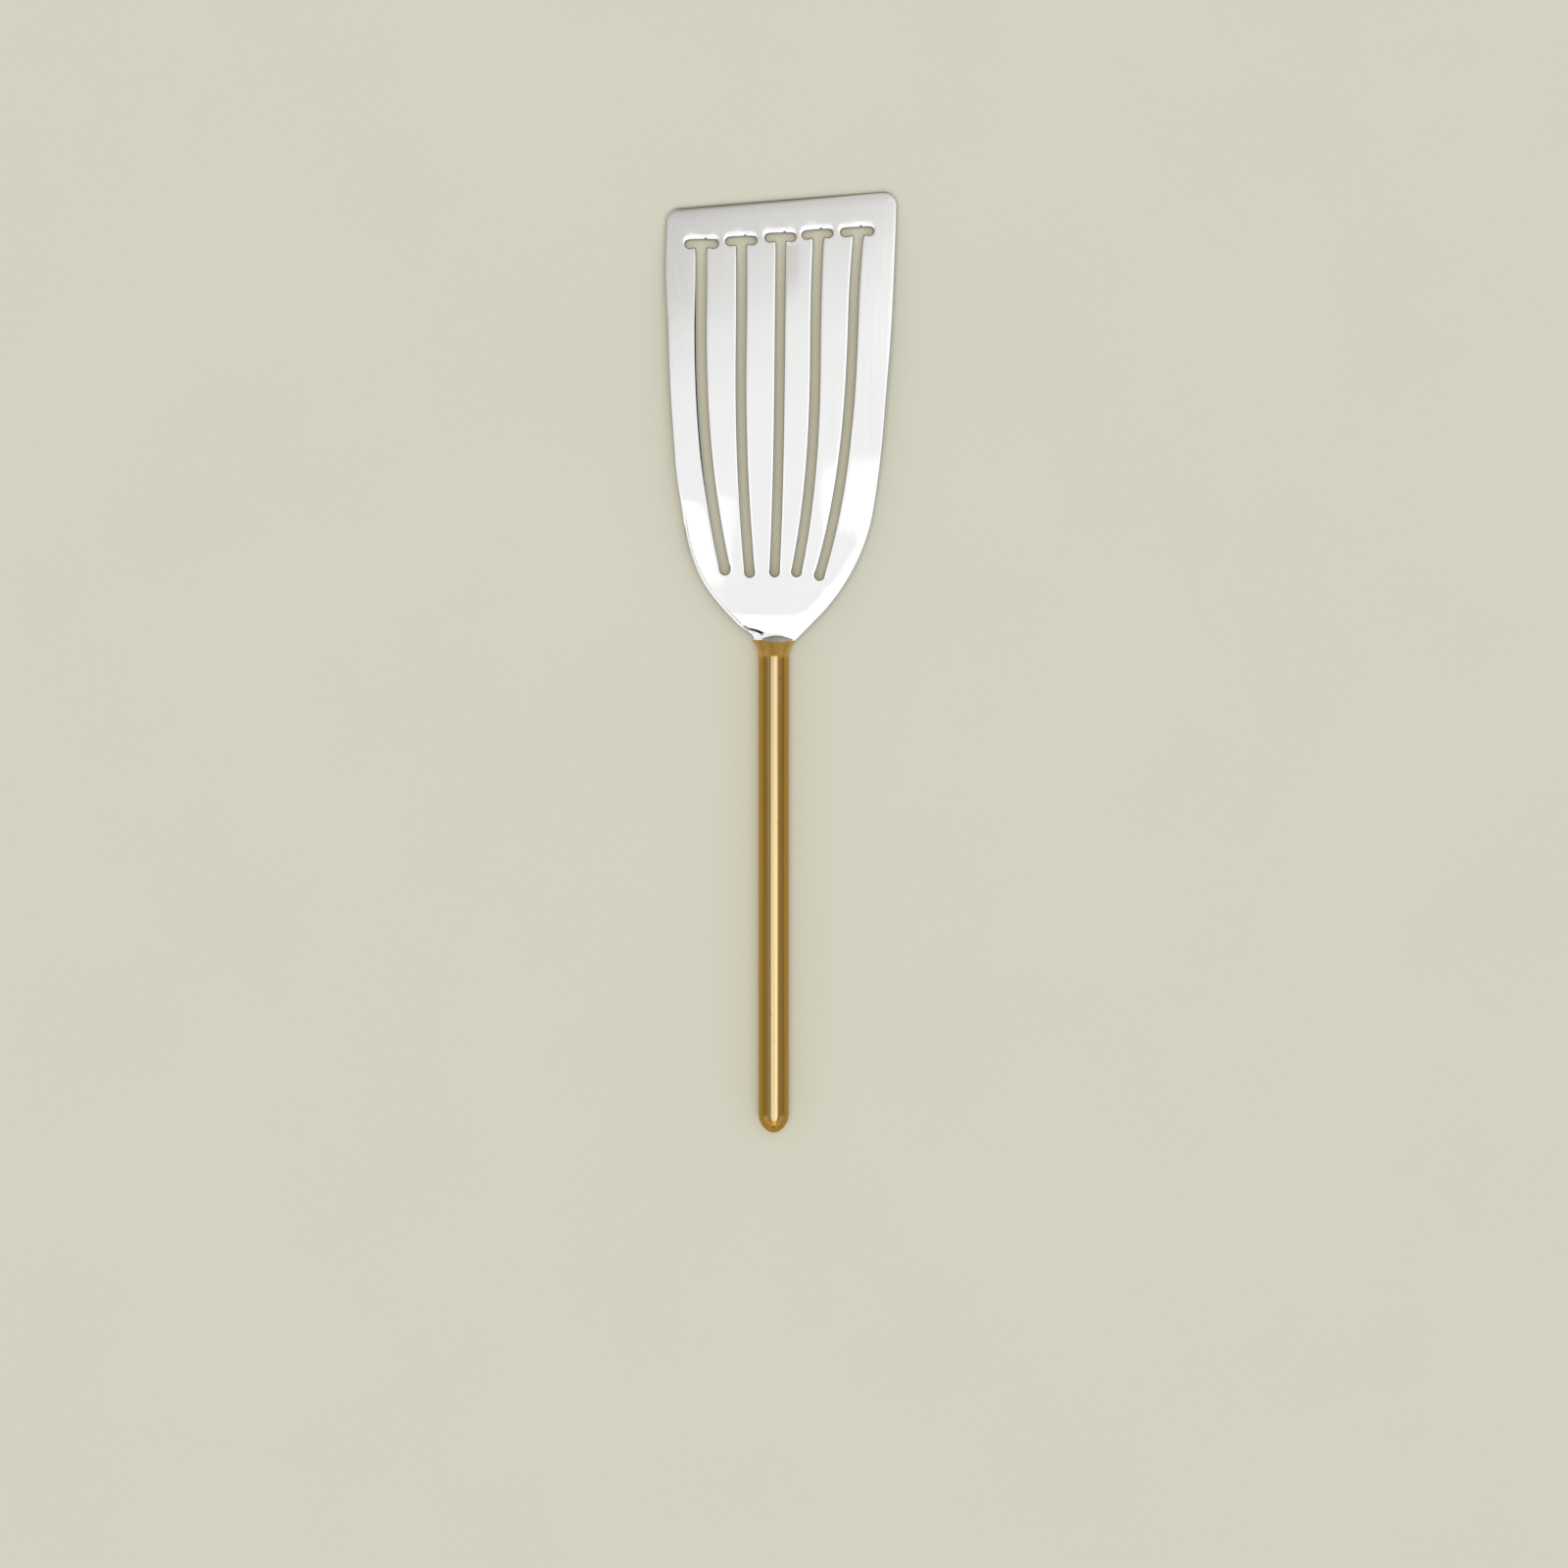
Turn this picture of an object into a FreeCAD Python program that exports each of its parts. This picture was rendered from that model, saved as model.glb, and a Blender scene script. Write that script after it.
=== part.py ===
import FreeCAD, Part
import math
import os
import re
import Sketcher

# Fish spatula: a slotted steel sheet blade whose tang is brazed into a solid brass rod handle.
# Every body is drawn with the handle's axis on its Y axis and the joint between blade and
# handle at the origin: the blade points to +Y, the handle to -Y. Lengths in mm, angles in degrees.
SIZES = {
    # Handle
    "rod_diameter": "10",
    "handle_length": "161.5",
    "dome_length": "6.2",
    "nose_radius": "3.8",
    "flare_length": "4.8",
    "flare_mid_width": "10.6",
    "flare_mid_thickness": "8",
    "flare_thickness": "6",
    # Neck, shared by blade and handle
    "neck_width": "13.4",
    "tang_width": "6.5",
    "tang_length": "22",
    "braze_gap": "0.15",
    "blade_yaw": "1.04",
    # Blade sheet and its outline
    "sheet_thickness": "1.2",
    "blade_length": "146.3",
    "blade_width": "76.8",
    "widest_ahead": "14",
    "side_radius": "1050",
    "shoulder_radius": "60.5",
    "run_angle": "44.3",
    "front_slant": "5.65",
    "corner_radius": "4.75",
    "curve_length": "65.6",
    # Slots
    "slot_width": "3.65",
    "slot_end": "21",
    "inner_offset": "12.4",
    "inner_straight": "39",
    "inner_end_offset": "7.4",
    "outer_offset": "25.4",
    "outer_straight": "26",
    "outer_end_offset": "15.5",
    "cap_setback": "12.3",
    "cap_length": "10.5",
    "cap_width": "3.2",
    # Braze fillets
    "fillet_width": "10",
    "fillet_reach": "2.1",
    "fillet_height": "1.3",
    "fillet_offset": "1.4",
    # How far a cut runs past what it cuts
    "cut_margin": "10",
}

doc = FreeCAD.newDocument("fish_spatula")
sheet = doc.addObject("Spreadsheet::Sheet", "dimensions")
for row, (alias, number) in enumerate(SIZES.items(), start=1):
    sheet.set(f"A{row}", alias)
    sheet.set(f"B{row}", number)
    sheet.setAlias(f"B{row}", alias)
doc.recompute()


def size(alias):
    """A driving dimension as a number, for the first guess of a sketch."""
    return float(sheet.get(alias))


def sized(formula):
    """The formula with every alias pointed at its cell."""
    return re.sub("[a-z_]+", lambda word: f"dimensions.{word[0]}" if word[0] in SIZES else word[0], formula)


def point(x, y):
    return FreeCAD.Vector(x, y, 0)


def arc(centre, radius, start, end):
    """Arc of a circle, counterclockwise between two angles in radians."""
    return Part.ArcOfCircle(Part.Circle(centre, FreeCAD.Vector(0, 0, 1), radius), start, end)


# Sketch references: the origin point and the two axes, then the ends and the centre of an element
ORIGIN = (-1, 1)
X_AXIS, Y_AXIS = -1, -2
START, END, CENTRE = 1, 2, 3


class Drawing:
    """A sketch in a body, with constraints bound to the sheet."""

    def __init__(self, body, name, role, offset=None, turn=None):
        self.sketch = body.newObject("Sketcher::SketchObject", name)
        plane = [feature for feature in body.Origin.OriginFeatures if feature.Role == role][0]
        self.sketch.AttachmentSupport = (plane, "")
        self.sketch.MapMode = "FlatFace"
        if turn:
            axis, formula = turn
            self.sketch.AttachmentOffset = FreeCAD.Placement(FreeCAD.Vector(), FreeCAD.Rotation(axis, 1))
            self.sketch.setExpression("AttachmentOffset.Rotation.Angle", sized(formula))
        for direction, formula in (offset or {}).items():
            self.sketch.setExpression(f"AttachmentOffset.Base.{direction}", sized(formula))
        self.names = 0

    def add(self, *shapes):
        first = self.sketch.GeometryCount
        for shape in shapes:
            self.sketch.addGeometry(shape, False)
        return range(first, first + len(shapes))

    def rule(self, kind, *where):
        self.sketch.addConstraint(Sketcher.Constraint(kind, *where))

    def dimension(self, formula, guess, kind, *where):
        index = self.sketch.addConstraint(Sketcher.Constraint(kind, *where, guess))
        self.names += 1
        name = f"dimension_{self.names}"
        self.sketch.renameConstraint(index, name)
        self.sketch.setExpression(f"Constraints.{name}", sized(formula))

    def right_of_axis(self, formula, guess, element, end):
        self.dimension(formula, guess, "DistanceX", *ORIGIN, element, end)

    def left_of_axis(self, formula, guess, element, end):
        self.dimension(formula, guess, "DistanceX", element, end, *ORIGIN)

    def above_axis(self, formula, guess, element, end):
        self.dimension(formula, guess, "DistanceY", *ORIGIN, element, end)

    def below_axis(self, formula, guess, element, end):
        self.dimension(formula, guess, "DistanceY", element, end, *ORIGIN)

    def chain(self, elements, smooth=()):
        """Joins each element's end to the next one's start, tangent where smooth lists the first."""
        for first, second in zip(elements, [*elements[1:], elements[0]]):
            kind = "Tangent" if first in smooth else "Coincident"
            self.rule(kind, first, END, second, START)

    def polygon(self, corners):
        """Straight edges round the corners, made level and upright where the guess is."""
        ends = [*corners[1:], corners[0]]
        edges = self.add(*(Part.LineSegment(a, b) for a, b in zip(corners, ends)))
        self.chain(list(edges))
        for edge, a, b in zip(edges, corners, ends):
            self.rule("Horizontal" if a.y == b.y else "Vertical", edge)
        return edges


def block(body, name, left, right, low, high, guess, turn=None):
    """A plan of a rectangle, from formulas for its distances to the axes. High is None on the X axis."""
    drawing = Drawing(body, name, "XY_Plane", turn=turn)
    x_left, x_right, y_low, y_high = guess
    low_left, low_right = point(-x_left, -y_low), point(x_right, -y_low)
    high_right, high_left = point(x_right, y_high), point(-x_left, y_high)
    bottom, _, top, _ = drawing.polygon([low_left, low_right, high_right, high_left])
    drawing.left_of_axis(left, x_left, bottom, START)
    drawing.right_of_axis(right, x_right, bottom, END)
    drawing.below_axis(low, y_low, bottom, START)
    if high:
        drawing.above_axis(high, y_high, top, START)
    else:
        drawing.rule("PointOnObject", top, START, X_AXIS)
    return drawing.sketch


def extrude(body, kind, name, sketch, length):
    """A pad or pocket that reaches half of the length to each side of its sketch."""
    feature = body.newObject(f"PartDesign::{kind}", name)
    feature.Profile = sketch
    feature.SideType = "Symmetric"
    feature.setExpression("Length", sized(length))
    return feature


def revolve(body, name, sketch, axis):
    feature = body.newObject("PartDesign::Revolution", name)
    feature.Profile = sketch
    feature.ReferenceAxis = (sketch, [axis])
    feature.Angle = 360
    return feature


UP = FreeCAD.Vector(0, 0, 1)
SKETCH_UP = FreeCAD.Vector(0, 1, 0)
FULL_HEIGHT = "2 * (rod_diameter + cut_margin)"

radius = size("rod_diameter") / 2
half_sheet = size("sheet_thickness") / 2
margin = size("cut_margin")
slant = math.radians(size("front_slant"))
widest_at = size("blade_length") + size("widest_ahead")


def draw_sheet(body):
    """Side view of the sheet, square to the slanted front edge: flat, then curved down to the table."""
    drawing = Drawing(body, "sheet_profile", "YZ_Plane", turn=(SKETCH_UP, "front_slant"))
    back = size("tang_length") + margin
    front = size("blade_length") * math.cos(slant)
    bend = front - size("curve_length")
    drop = radius - half_sheet
    under = ((front - bend) ** 2 + drop ** 2) / (2 * drop)
    fall = math.asin((front - bend) / under)
    centre = point(bend, -half_sheet - under)
    tip = centre + point(math.sin(fall), math.cos(fall)) * (under + 2 * half_sheet)
    low_flat, low_bend, nose, top_bend, top_flat, rear = drawing.add(
        Part.LineSegment(point(-back, -half_sheet), point(bend, -half_sheet)),
        arc(centre, under, math.pi / 2 - fall, math.pi / 2),
        Part.LineSegment(point(front, -radius), tip),
        arc(centre, under + 2 * half_sheet, math.pi / 2 - fall, math.pi / 2),
        Part.LineSegment(point(bend, half_sheet), point(-back, half_sheet)),
        Part.LineSegment(point(-back, half_sheet), point(-back, -half_sheet)),
    )
    drawing.rule("Tangent", low_flat, END, low_bend, END)
    drawing.rule("Coincident", low_bend, START, nose, START)
    drawing.rule("Coincident", nose, END, top_bend, START)
    drawing.rule("Tangent", top_bend, END, top_flat, START)
    drawing.rule("Coincident", top_flat, END, rear, START)
    drawing.rule("Coincident", rear, END, low_flat, START)
    drawing.rule("Coincident", low_bend, CENTRE, top_bend, CENTRE)
    drawing.rule("PointOnObject", low_bend, CENTRE, nose)
    drawing.rule("Horizontal", low_flat)
    drawing.rule("Horizontal", top_flat)
    drawing.rule("Vertical", rear)
    drawing.left_of_axis("tang_length + cut_margin", back, low_flat, START)
    drawing.below_axis("sheet_thickness / 2", half_sheet, low_flat, START)
    drawing.above_axis("sheet_thickness / 2", half_sheet, top_flat, START)
    drawing.right_of_axis("blade_length * cos(front_slant) - curve_length", bend, low_flat, END)
    drawing.right_of_axis("blade_length * cos(front_slant)", front, nose, START)
    drawing.below_axis("rod_diameter / 2", radius, nose, START)
    return drawing.sketch


def draw_waste(body):
    """What is cut away on the right of the blade's outline, from behind the tang to past the front."""
    drawing = Drawing(body, "outline_waste", "XY_Plane")
    tang = size("tang_width") / 2
    neck = size("neck_width") / 2
    tang_end = -size("tang_length")
    side = size("side_radius")
    shoulder = size("shoulder_radius")
    run = math.radians(size("run_angle"))
    out = size("blade_width") / 2 + 2 * size("blade_length") * math.tan(slant) + 2 * margin
    far = widest_at + margin
    behind = tang_end - 2 * margin
    # The shoulder arc touches the straight run and the side arc, which fixes where they meet
    side_centre = point(size("blade_width") / 2 - side, widest_at)
    across = point(-math.cos(run), math.sin(run))
    reach = across.dot(side_centre - point(neck, 0))
    meet = run - math.acos((reach - shoulder) / (side - shoulder))
    shoulder_centre = side_centre + point(math.cos(meet), -math.sin(meet)) * (side - shoulder)
    run_end = shoulder_centre - across * shoulder
    side_end = math.asin((far - side_centre.y) / side)
    side_top = side_centre + point(math.cos(side_end), math.sin(side_end)) * side
    tang_tip, tang_side, ledge, straight, shoulder_arc, side_arc, ahead, outside, rear, middle = drawing.add(
        Part.LineSegment(point(0, tang_end), point(tang, tang_end)),
        Part.LineSegment(point(tang, tang_end), point(tang, 0)),
        Part.LineSegment(point(tang, 0), point(neck, 0)),
        Part.LineSegment(point(neck, 0), run_end),
        arc(shoulder_centre, shoulder, run - math.pi / 2, -meet),
        arc(side_centre, side, -meet, side_end),
        Part.LineSegment(side_top, point(out, far)),
        Part.LineSegment(point(out, far), point(out, behind)),
        Part.LineSegment(point(out, behind), point(0, behind)),
        Part.LineSegment(point(0, behind), point(0, tang_end)),
    )
    edges = [tang_tip, tang_side, ledge, straight, shoulder_arc, side_arc, ahead, outside, rear, middle]
    drawing.chain(edges, smooth=(straight, shoulder_arc))
    for edge in (tang_tip, ahead, rear):
        drawing.rule("Horizontal", edge)
    for edge in (tang_side, outside):
        drawing.rule("Vertical", edge)
    drawing.rule("PointOnObject", tang_tip, START, Y_AXIS)
    drawing.rule("PointOnObject", rear, END, Y_AXIS)
    drawing.rule("PointOnObject", ledge, START, X_AXIS)
    drawing.rule("PointOnObject", ledge, END, X_AXIS)
    drawing.right_of_axis("tang_width / 2", tang, ledge, START)
    drawing.right_of_axis("neck_width / 2", neck, ledge, END)
    drawing.below_axis("tang_length", -tang_end, tang_tip, START)
    drawing.below_axis("tang_length + 2 * cut_margin", -behind, rear, END)
    drawing.right_of_axis("blade_width / 2 + 2 * blade_length * tan(front_slant) + 2 * cut_margin", out,
                          outside, START)
    drawing.above_axis("blade_length + widest_ahead + cut_margin", far, outside, START)
    drawing.dimension("90 - run_angle", math.pi / 2 - run, "Angle", straight)
    drawing.dimension("shoulder_radius", shoulder, "Radius", shoulder_arc)
    drawing.dimension("side_radius", side, "Radius", side_arc)
    drawing.above_axis("blade_length + widest_ahead", side_centre.y, side_arc, CENTRE)
    drawing.left_of_axis("side_radius - blade_width / 2", -side_centre.x, side_arc, CENTRE)
    return drawing.sketch


def cap_row(across):
    """Distance from the joint to the row of crosswise slots, at a distance across from the middle."""
    return size("blade_length") + across * math.tan(slant) - size("cap_setback") / math.cos(slant)


def cap_row_formula(across):
    return f"blade_length + ({across}) * tan(front_slant) - cap_setback / cos(front_slant)"


def draw_middle_slot(body):
    """The straight slot along the blade's axis, round at its rear end."""
    drawing = Drawing(body, "slot_middle_outline", "XY_Plane")
    half = size("slot_width") / 2
    end = size("slot_end") + half
    top = cap_row(0)
    left, rear, right, front = drawing.add(
        Part.LineSegment(point(-half, top), point(-half, end)),
        arc(point(0, end), half, math.pi, 2 * math.pi),
        Part.LineSegment(point(half, end), point(half, top)),
        Part.LineSegment(point(half, top), point(-half, top)),
    )
    drawing.chain([left, rear, right, front], smooth=(left, rear))
    drawing.rule("Vertical", left)
    drawing.rule("Vertical", right)
    drawing.rule("Horizontal", front)
    drawing.rule("PointOnObject", rear, CENTRE, Y_AXIS)
    drawing.dimension("slot_width / 2", half, "Radius", rear)
    drawing.above_axis("slot_end + slot_width / 2", end, rear, CENTRE)
    drawing.above_axis(cap_row_formula("0"), top, front, START)
    return drawing.sketch


def draw_bent_slot(body, name, pair, side):
    """A slot that runs straight back from the front, then bends in towards the neck. Side is 1 or -1."""
    drawing = Drawing(body, f"{name}_outline", "XY_Plane")
    half = size("slot_width") / 2
    offset = size(f"{pair}_offset")
    bend = cap_row(0) - size(f"{pair}_straight")
    end_offset = size(f"{pair}_end_offset")
    end = size("slot_end") + half
    top = cap_row(side * offset)
    # The arc leaves the straight run smoothly and reaches the end's offset
    middle = ((bend - end) ** 2 + (offset - end_offset) ** 2) / (2 * (offset - end_offset))
    turn = math.asin((bend - end) / middle)
    centre = point(side * (offset - middle), bend)
    inward = point(side * math.cos(turn), -math.sin(turn))
    # Seen from above, an arc runs counterclockwise, so its ends change places on the left side
    begin, close = (START, END) if side < 0 else (END, START)
    angles = (math.pi, math.pi + turn) if side < 0 else (-turn, 0)
    tip = -turn if side > 0 else math.pi + turn
    tip_angles = (tip - math.pi, tip) if side > 0 else (tip, tip + math.pi)
    outer_line, outer_arc, rear, inner_arc, inner_line, front = drawing.add(
        Part.LineSegment(point(side * (offset + half), top), point(side * (offset + half), bend)),
        arc(centre, middle + half, *angles),
        arc(centre + inward * middle, half, *tip_angles),
        arc(centre, middle - half, *angles),
        Part.LineSegment(point(side * (offset - half), bend), point(side * (offset - half), top)),
        Part.LineSegment(point(side * (offset - half), top), point(side * (offset + half), top)),
    )
    drawing.rule("Tangent", outer_line, END, outer_arc, begin)
    drawing.rule("Tangent", outer_arc, close, rear, begin)
    drawing.rule("Tangent", rear, close, inner_arc, close)
    drawing.rule("Tangent", inner_arc, begin, inner_line, START)
    drawing.rule("Coincident", inner_line, END, front, START)
    drawing.rule("Coincident", front, END, outer_line, START)
    drawing.rule("Coincident", outer_arc, CENTRE, inner_arc, CENTRE)
    drawing.rule("Vertical", outer_line)
    drawing.rule("Vertical", inner_line)
    drawing.rule("Horizontal", front)
    beside = drawing.right_of_axis if side > 0 else drawing.left_of_axis
    beside(f"{pair}_offset + slot_width / 2", offset + half, outer_line, START)
    beside(f"{pair}_offset - slot_width / 2", offset - half, inner_line, END)
    beside(f"{pair}_end_offset", end_offset, rear, CENTRE)
    drawing.above_axis(f"{cap_row_formula('0')} - {pair}_straight", bend, outer_arc, CENTRE)
    drawing.above_axis("slot_end + slot_width / 2", (centre + inward * middle).y, rear, CENTRE)
    drawing.above_axis(cap_row_formula(f"{side} * {pair}_offset"), top, front, START)
    return drawing.sketch


def draw_cap(body, name, across):
    """The short crosswise slot at a long slot's front end, along the slanted row, round at both ends."""
    row = {"x": across, "y": cap_row_formula(across)}
    drawing = Drawing(body, f"{name}_cap_outline", "XY_Plane", row, (UP, "front_slant"))
    half = size("cap_width") / 2
    reach = size("cap_length") / 2 - half
    low, right, high, left = drawing.add(
        Part.LineSegment(point(-reach, -half), point(reach, -half)),
        arc(point(reach, 0), half, -math.pi / 2, math.pi / 2),
        Part.LineSegment(point(reach, half), point(-reach, half)),
        arc(point(-reach, 0), half, math.pi / 2, 3 * math.pi / 2),
    )
    drawing.chain([low, right, high, left], smooth=(low, right, high, left))
    drawing.rule("Equal", right, left)
    drawing.rule("Symmetric", left, CENTRE, right, CENTRE, *ORIGIN)
    drawing.rule("PointOnObject", right, CENTRE, X_AXIS)
    drawing.dimension("cap_width / 2", half, "Radius", right)
    drawing.right_of_axis("(cap_length - cap_width) / 2", reach, right, CENTRE)
    return drawing.sketch


def front_corners(shape):
    """Names of the two short edges where the front edge meets the blade's sides."""
    beyond = size("blade_length") - size("blade_width") * math.tan(slant)
    near = size("blade_width") / 4
    names = []
    for index, edge in enumerate(shape.Edges, start=1):
        ends = [vertex.Point for vertex in edge.Vertexes]
        short = edge.Length < 2 * size("sheet_thickness")
        upright = abs(ends[0].z - ends[-1].z) > half_sheet
        if short and upright and all(end.y > beyond and abs(end.x) > near for end in ends):
            names.append(f"Edge{index}")
    return names


def make_blade():
    body = doc.addObject("PartDesign::Body", "blade")
    wide = "blade_width + 2 * blade_length * tan(front_slant) + cut_margin"
    extrude(body, "Pad", "sheet", draw_sheet(body), wide)
    waste = extrude(body, "Pocket", "outline", draw_waste(body), FULL_HEIGHT)
    mirror = body.newObject("PartDesign::Mirrored", "outline_both_sides")
    mirror.Originals = [waste]
    mirror.MirrorPlane = (waste.Profile[0], ["V_Axis"])
    body.Tip = mirror
    doc.recompute()
    corners = body.newObject("PartDesign::Fillet", "front_corners")
    corners.Base = (mirror, front_corners(mirror.Shape))
    corners.setExpression("Radius", sized("corner_radius"))
    body.Tip = corners
    slots = {"slot_middle": (draw_middle_slot(body), "0")}
    for pair in ("inner", "outer"):
        for word, side in (("left", -1), ("right", 1)):
            name = f"slot_{pair}_{word}"
            slots[name] = (draw_bent_slot(body, name, pair, side), f"{side} * {pair}_offset")
    for name, (outline, across) in slots.items():
        extrude(body, "Pocket", name, outline, FULL_HEIGHT)
        extrude(body, "Pocket", f"{name}_cap", draw_cap(body, name, across), FULL_HEIGHT)
    return body


def draw_rod(body):
    """Half of the rod's side view: from the flare's rear end to the domed free end."""
    drawing = Drawing(body, "rod_profile", "YZ_Plane")
    begin = -size("flare_length")
    length = size("handle_length")
    dome = size("dome_length")
    nose = size("nose_radius")
    # The dome's side arc touches the rod's wall and the round nose
    rise = dome - nose
    swell = (radius ** 2 + rise ** 2 - nose ** 2) / (2 * (radius - nose))
    dome_start = dome - length
    swell_centre = point(dome_start, radius - swell)
    nose_centre = point(nose - length, 0)
    meet = math.atan2(swell - radius, nose_centre.x - dome_start)
    axis, face, wall, swell_arc, nose_arc = drawing.add(
        Part.LineSegment(point(-length, 0), point(begin, 0)),
        Part.LineSegment(point(begin, 0), point(begin, radius)),
        Part.LineSegment(point(begin, radius), point(dome_start, radius)),
        arc(swell_centre, swell, math.pi / 2, meet),
        arc(nose_centre, nose, meet, math.pi),
    )
    drawing.chain([axis, face, wall, swell_arc, nose_arc], smooth=(wall, swell_arc))
    drawing.rule("Horizontal", wall)
    drawing.rule("Vertical", face)
    drawing.rule("PointOnObject", axis, START, X_AXIS)
    drawing.rule("PointOnObject", axis, END, X_AXIS)
    drawing.rule("PointOnObject", nose_arc, CENTRE, X_AXIS)
    drawing.left_of_axis("handle_length", length, axis, START)
    drawing.left_of_axis("flare_length", -begin, axis, END)
    drawing.left_of_axis("handle_length - dome_length", -dome_start, wall, END)
    drawing.above_axis("rod_diameter / 2", radius, face, END)
    drawing.dimension("nose_radius", nose, "Radius", nose_arc)
    return drawing.sketch


def draw_oval(body, name, width, thickness, behind, turn=None):
    """A cross section of the flare, at a distance behind the joint."""
    drawing = Drawing(body, name, "XZ_Plane", {"z": behind}, turn)
    half_width = size(width) / 2
    half_height = size(thickness) / 2
    oval = drawing.add(Part.Ellipse(point(half_width, 0), point(0, half_height), point(0, 0)))[0]
    drawing.sketch.exposeInternalGeometry(oval)
    long_axis, short_axis = oval + 1, oval + 2
    drawing.rule("Coincident", oval, CENTRE, *ORIGIN)
    drawing.rule("Horizontal", long_axis)
    drawing.dimension(width, 2 * half_width, "Distance", long_axis)
    drawing.dimension(thickness, 2 * half_height, "Distance", short_axis)
    return drawing.sketch


def make_handle():
    body = doc.addObject("PartDesign::Body", "handle")
    revolve(body, "rod", draw_rod(body), "H_Axis")
    seam = Drawing(body, "flare_rear", "XZ_Plane", {"z": "flare_length"})
    circle = seam.add(Part.Circle(point(0, 0), UP, radius))[0]
    seam.rule("Coincident", circle, CENTRE, *ORIGIN)
    seam.dimension("rod_diameter / 2", radius, "Radius", circle)
    middle = draw_oval(body, "flare_middle", "flare_mid_width", "flare_mid_thickness", "flare_length / 2")
    face = draw_oval(body, "flare_face", "neck_width", "flare_thickness", "0", (SKETCH_UP, "-blade_yaw"))
    flare = body.newObject("PartDesign::AdditiveLoft", "flare")
    flare.Profile = seam.sketch
    flare.Sections = [middle, face]
    doc.recompute()
    extrude(body, "Pocket", "mortise", draw_mortise(body, "mortise_outline", "cut_margin", margin,
            (UP, "-blade_yaw")), "sheet_thickness + 2 * braze_gap")
    return body


def draw_mortise(body, name, ahead, ahead_guess, turn=None):
    """Plan of the mortise: the tang with a gap for the braze round it."""
    gap = size("braze_gap")
    wide = size("tang_width") / 2 + gap
    guess = (wide, wide, size("tang_length") + gap, ahead_guess)
    across = "tang_width / 2 + braze_gap"
    return block(body, name, across, across, "tang_length + braze_gap", ahead, guess, turn)


def make_braze_film():
    body = doc.addObject("PartDesign::Body", "braze_film")
    outside = draw_mortise(body, "film_outline", None, 0)
    extrude(body, "Pad", "film_block", outside, "sheet_thickness + 2 * braze_gap")
    half = size("tang_width") / 2
    guess = (half, half, size("tang_length"), margin)
    across = "tang_width / 2"
    tang = block(body, "tang_outline", across, across, "tang_length", "cut_margin", guess)
    extrude(body, "Pocket", "tang_room", tang, "sheet_thickness")
    return body


def make_braze_fillet(name, side, across):
    """A bead of braze in the corner of the sheet and the handle's end face. Side is 1 above, -1 below."""
    body = doc.addObject("PartDesign::Body", name)
    # The bead is a cap of a ball, cut off by the handle's end face
    plan = "(fillet_width * fillet_width / 4 + fillet_reach * fillet_reach) / (2 * fillet_reach)"
    reach = size("fillet_reach")
    plan_radius = (size("fillet_width") ** 2 / 4 + reach ** 2) / (2 * reach)
    height = size("fillet_height")
    depth = (size("fillet_width") ** 2 / 4 - height ** 2) / (2 * height)
    ball = math.hypot(plan_radius, depth)
    place = {"x": f"fillet_reach - {plan}", "y": f"{side} * sheet_thickness / 2", "z": across}
    drawing = Drawing(body, f"{name}_profile", "YZ_Plane", place)
    rim = math.atan2(depth, plan_radius)
    angles = (rim, math.pi / 2) if side > 0 else (-math.pi / 2, -rim)
    begin, close = (START, END) if side > 0 else (END, START)
    crown = side * (ball - depth)
    base, dome, axis = drawing.add(
        Part.LineSegment(point(0, 0), point(plan_radius, 0)),
        arc(point(0, -side * depth), ball, *angles),
        Part.LineSegment(point(0, crown), point(0, 0)),
    )
    mark = drawing.add(Part.Point(point(plan_radius - reach, side * height)))[0]
    drawing.sketch.setConstruction(mark, True)
    drawing.rule("Coincident", base, START, *ORIGIN)
    drawing.rule("Coincident", base, END, dome, begin)
    drawing.rule("Coincident", dome, close, axis, START)
    drawing.rule("Coincident", axis, END, base, START)
    drawing.rule("Horizontal", base)
    drawing.rule("Vertical", axis)
    drawing.rule("PointOnObject", dome, CENTRE, Y_AXIS)
    drawing.rule("PointOnObject", mark, START, dome)
    drawing.right_of_axis(plan, plan_radius, base, END)
    drawing.right_of_axis(f"{plan} - fillet_reach", plan_radius - reach, mark, START)
    beside = drawing.above_axis if side > 0 else drawing.below_axis
    beside("fillet_height", height, mark, START)
    revolve(body, f"{name}_ball", drawing.sketch, "V_Axis")
    wide = size("fillet_width") + margin
    guess = (wide, wide, wide, 0)
    formula = "fillet_width + cut_margin"
    behind = block(body, f"{name}_rear", formula, formula, formula, None, guess)
    extrude(body, "Pocket", f"{name}_face", behind, FULL_HEIGHT)
    return body


blade = make_blade()
handle = make_handle()
braze_film = make_braze_film()
braze_fillet_top = make_braze_fillet("braze_fillet_top", 1, "fillet_offset")
braze_fillet_under = make_braze_fillet("braze_fillet_under", -1, "0")
bodies = [blade, handle, braze_film, braze_fillet_top, braze_fillet_under]
doc.recompute()

# The blade and its braze stand a little askew on the handle
askew = FreeCAD.Rotation(UP, -size("blade_yaw"))
for body in bodies:
    if body is not handle:
        body.Placement = FreeCAD.Placement(FreeCAD.Vector(), askew)
doc.recompute()

# The model's origin is under the middle of the whole tool, on the table
whole = FreeCAD.BoundBox()
for body in bodies:
    whole.add(body.Shape.optimalBoundingBox(False, False))
origin = FreeCAD.Vector(-whole.Center.x, -whole.Center.y, -whole.ZMin)
for body in bodies:
    body.Placement = FreeCAD.Placement(origin, body.Placement.Rotation)
doc.recompute()

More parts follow.
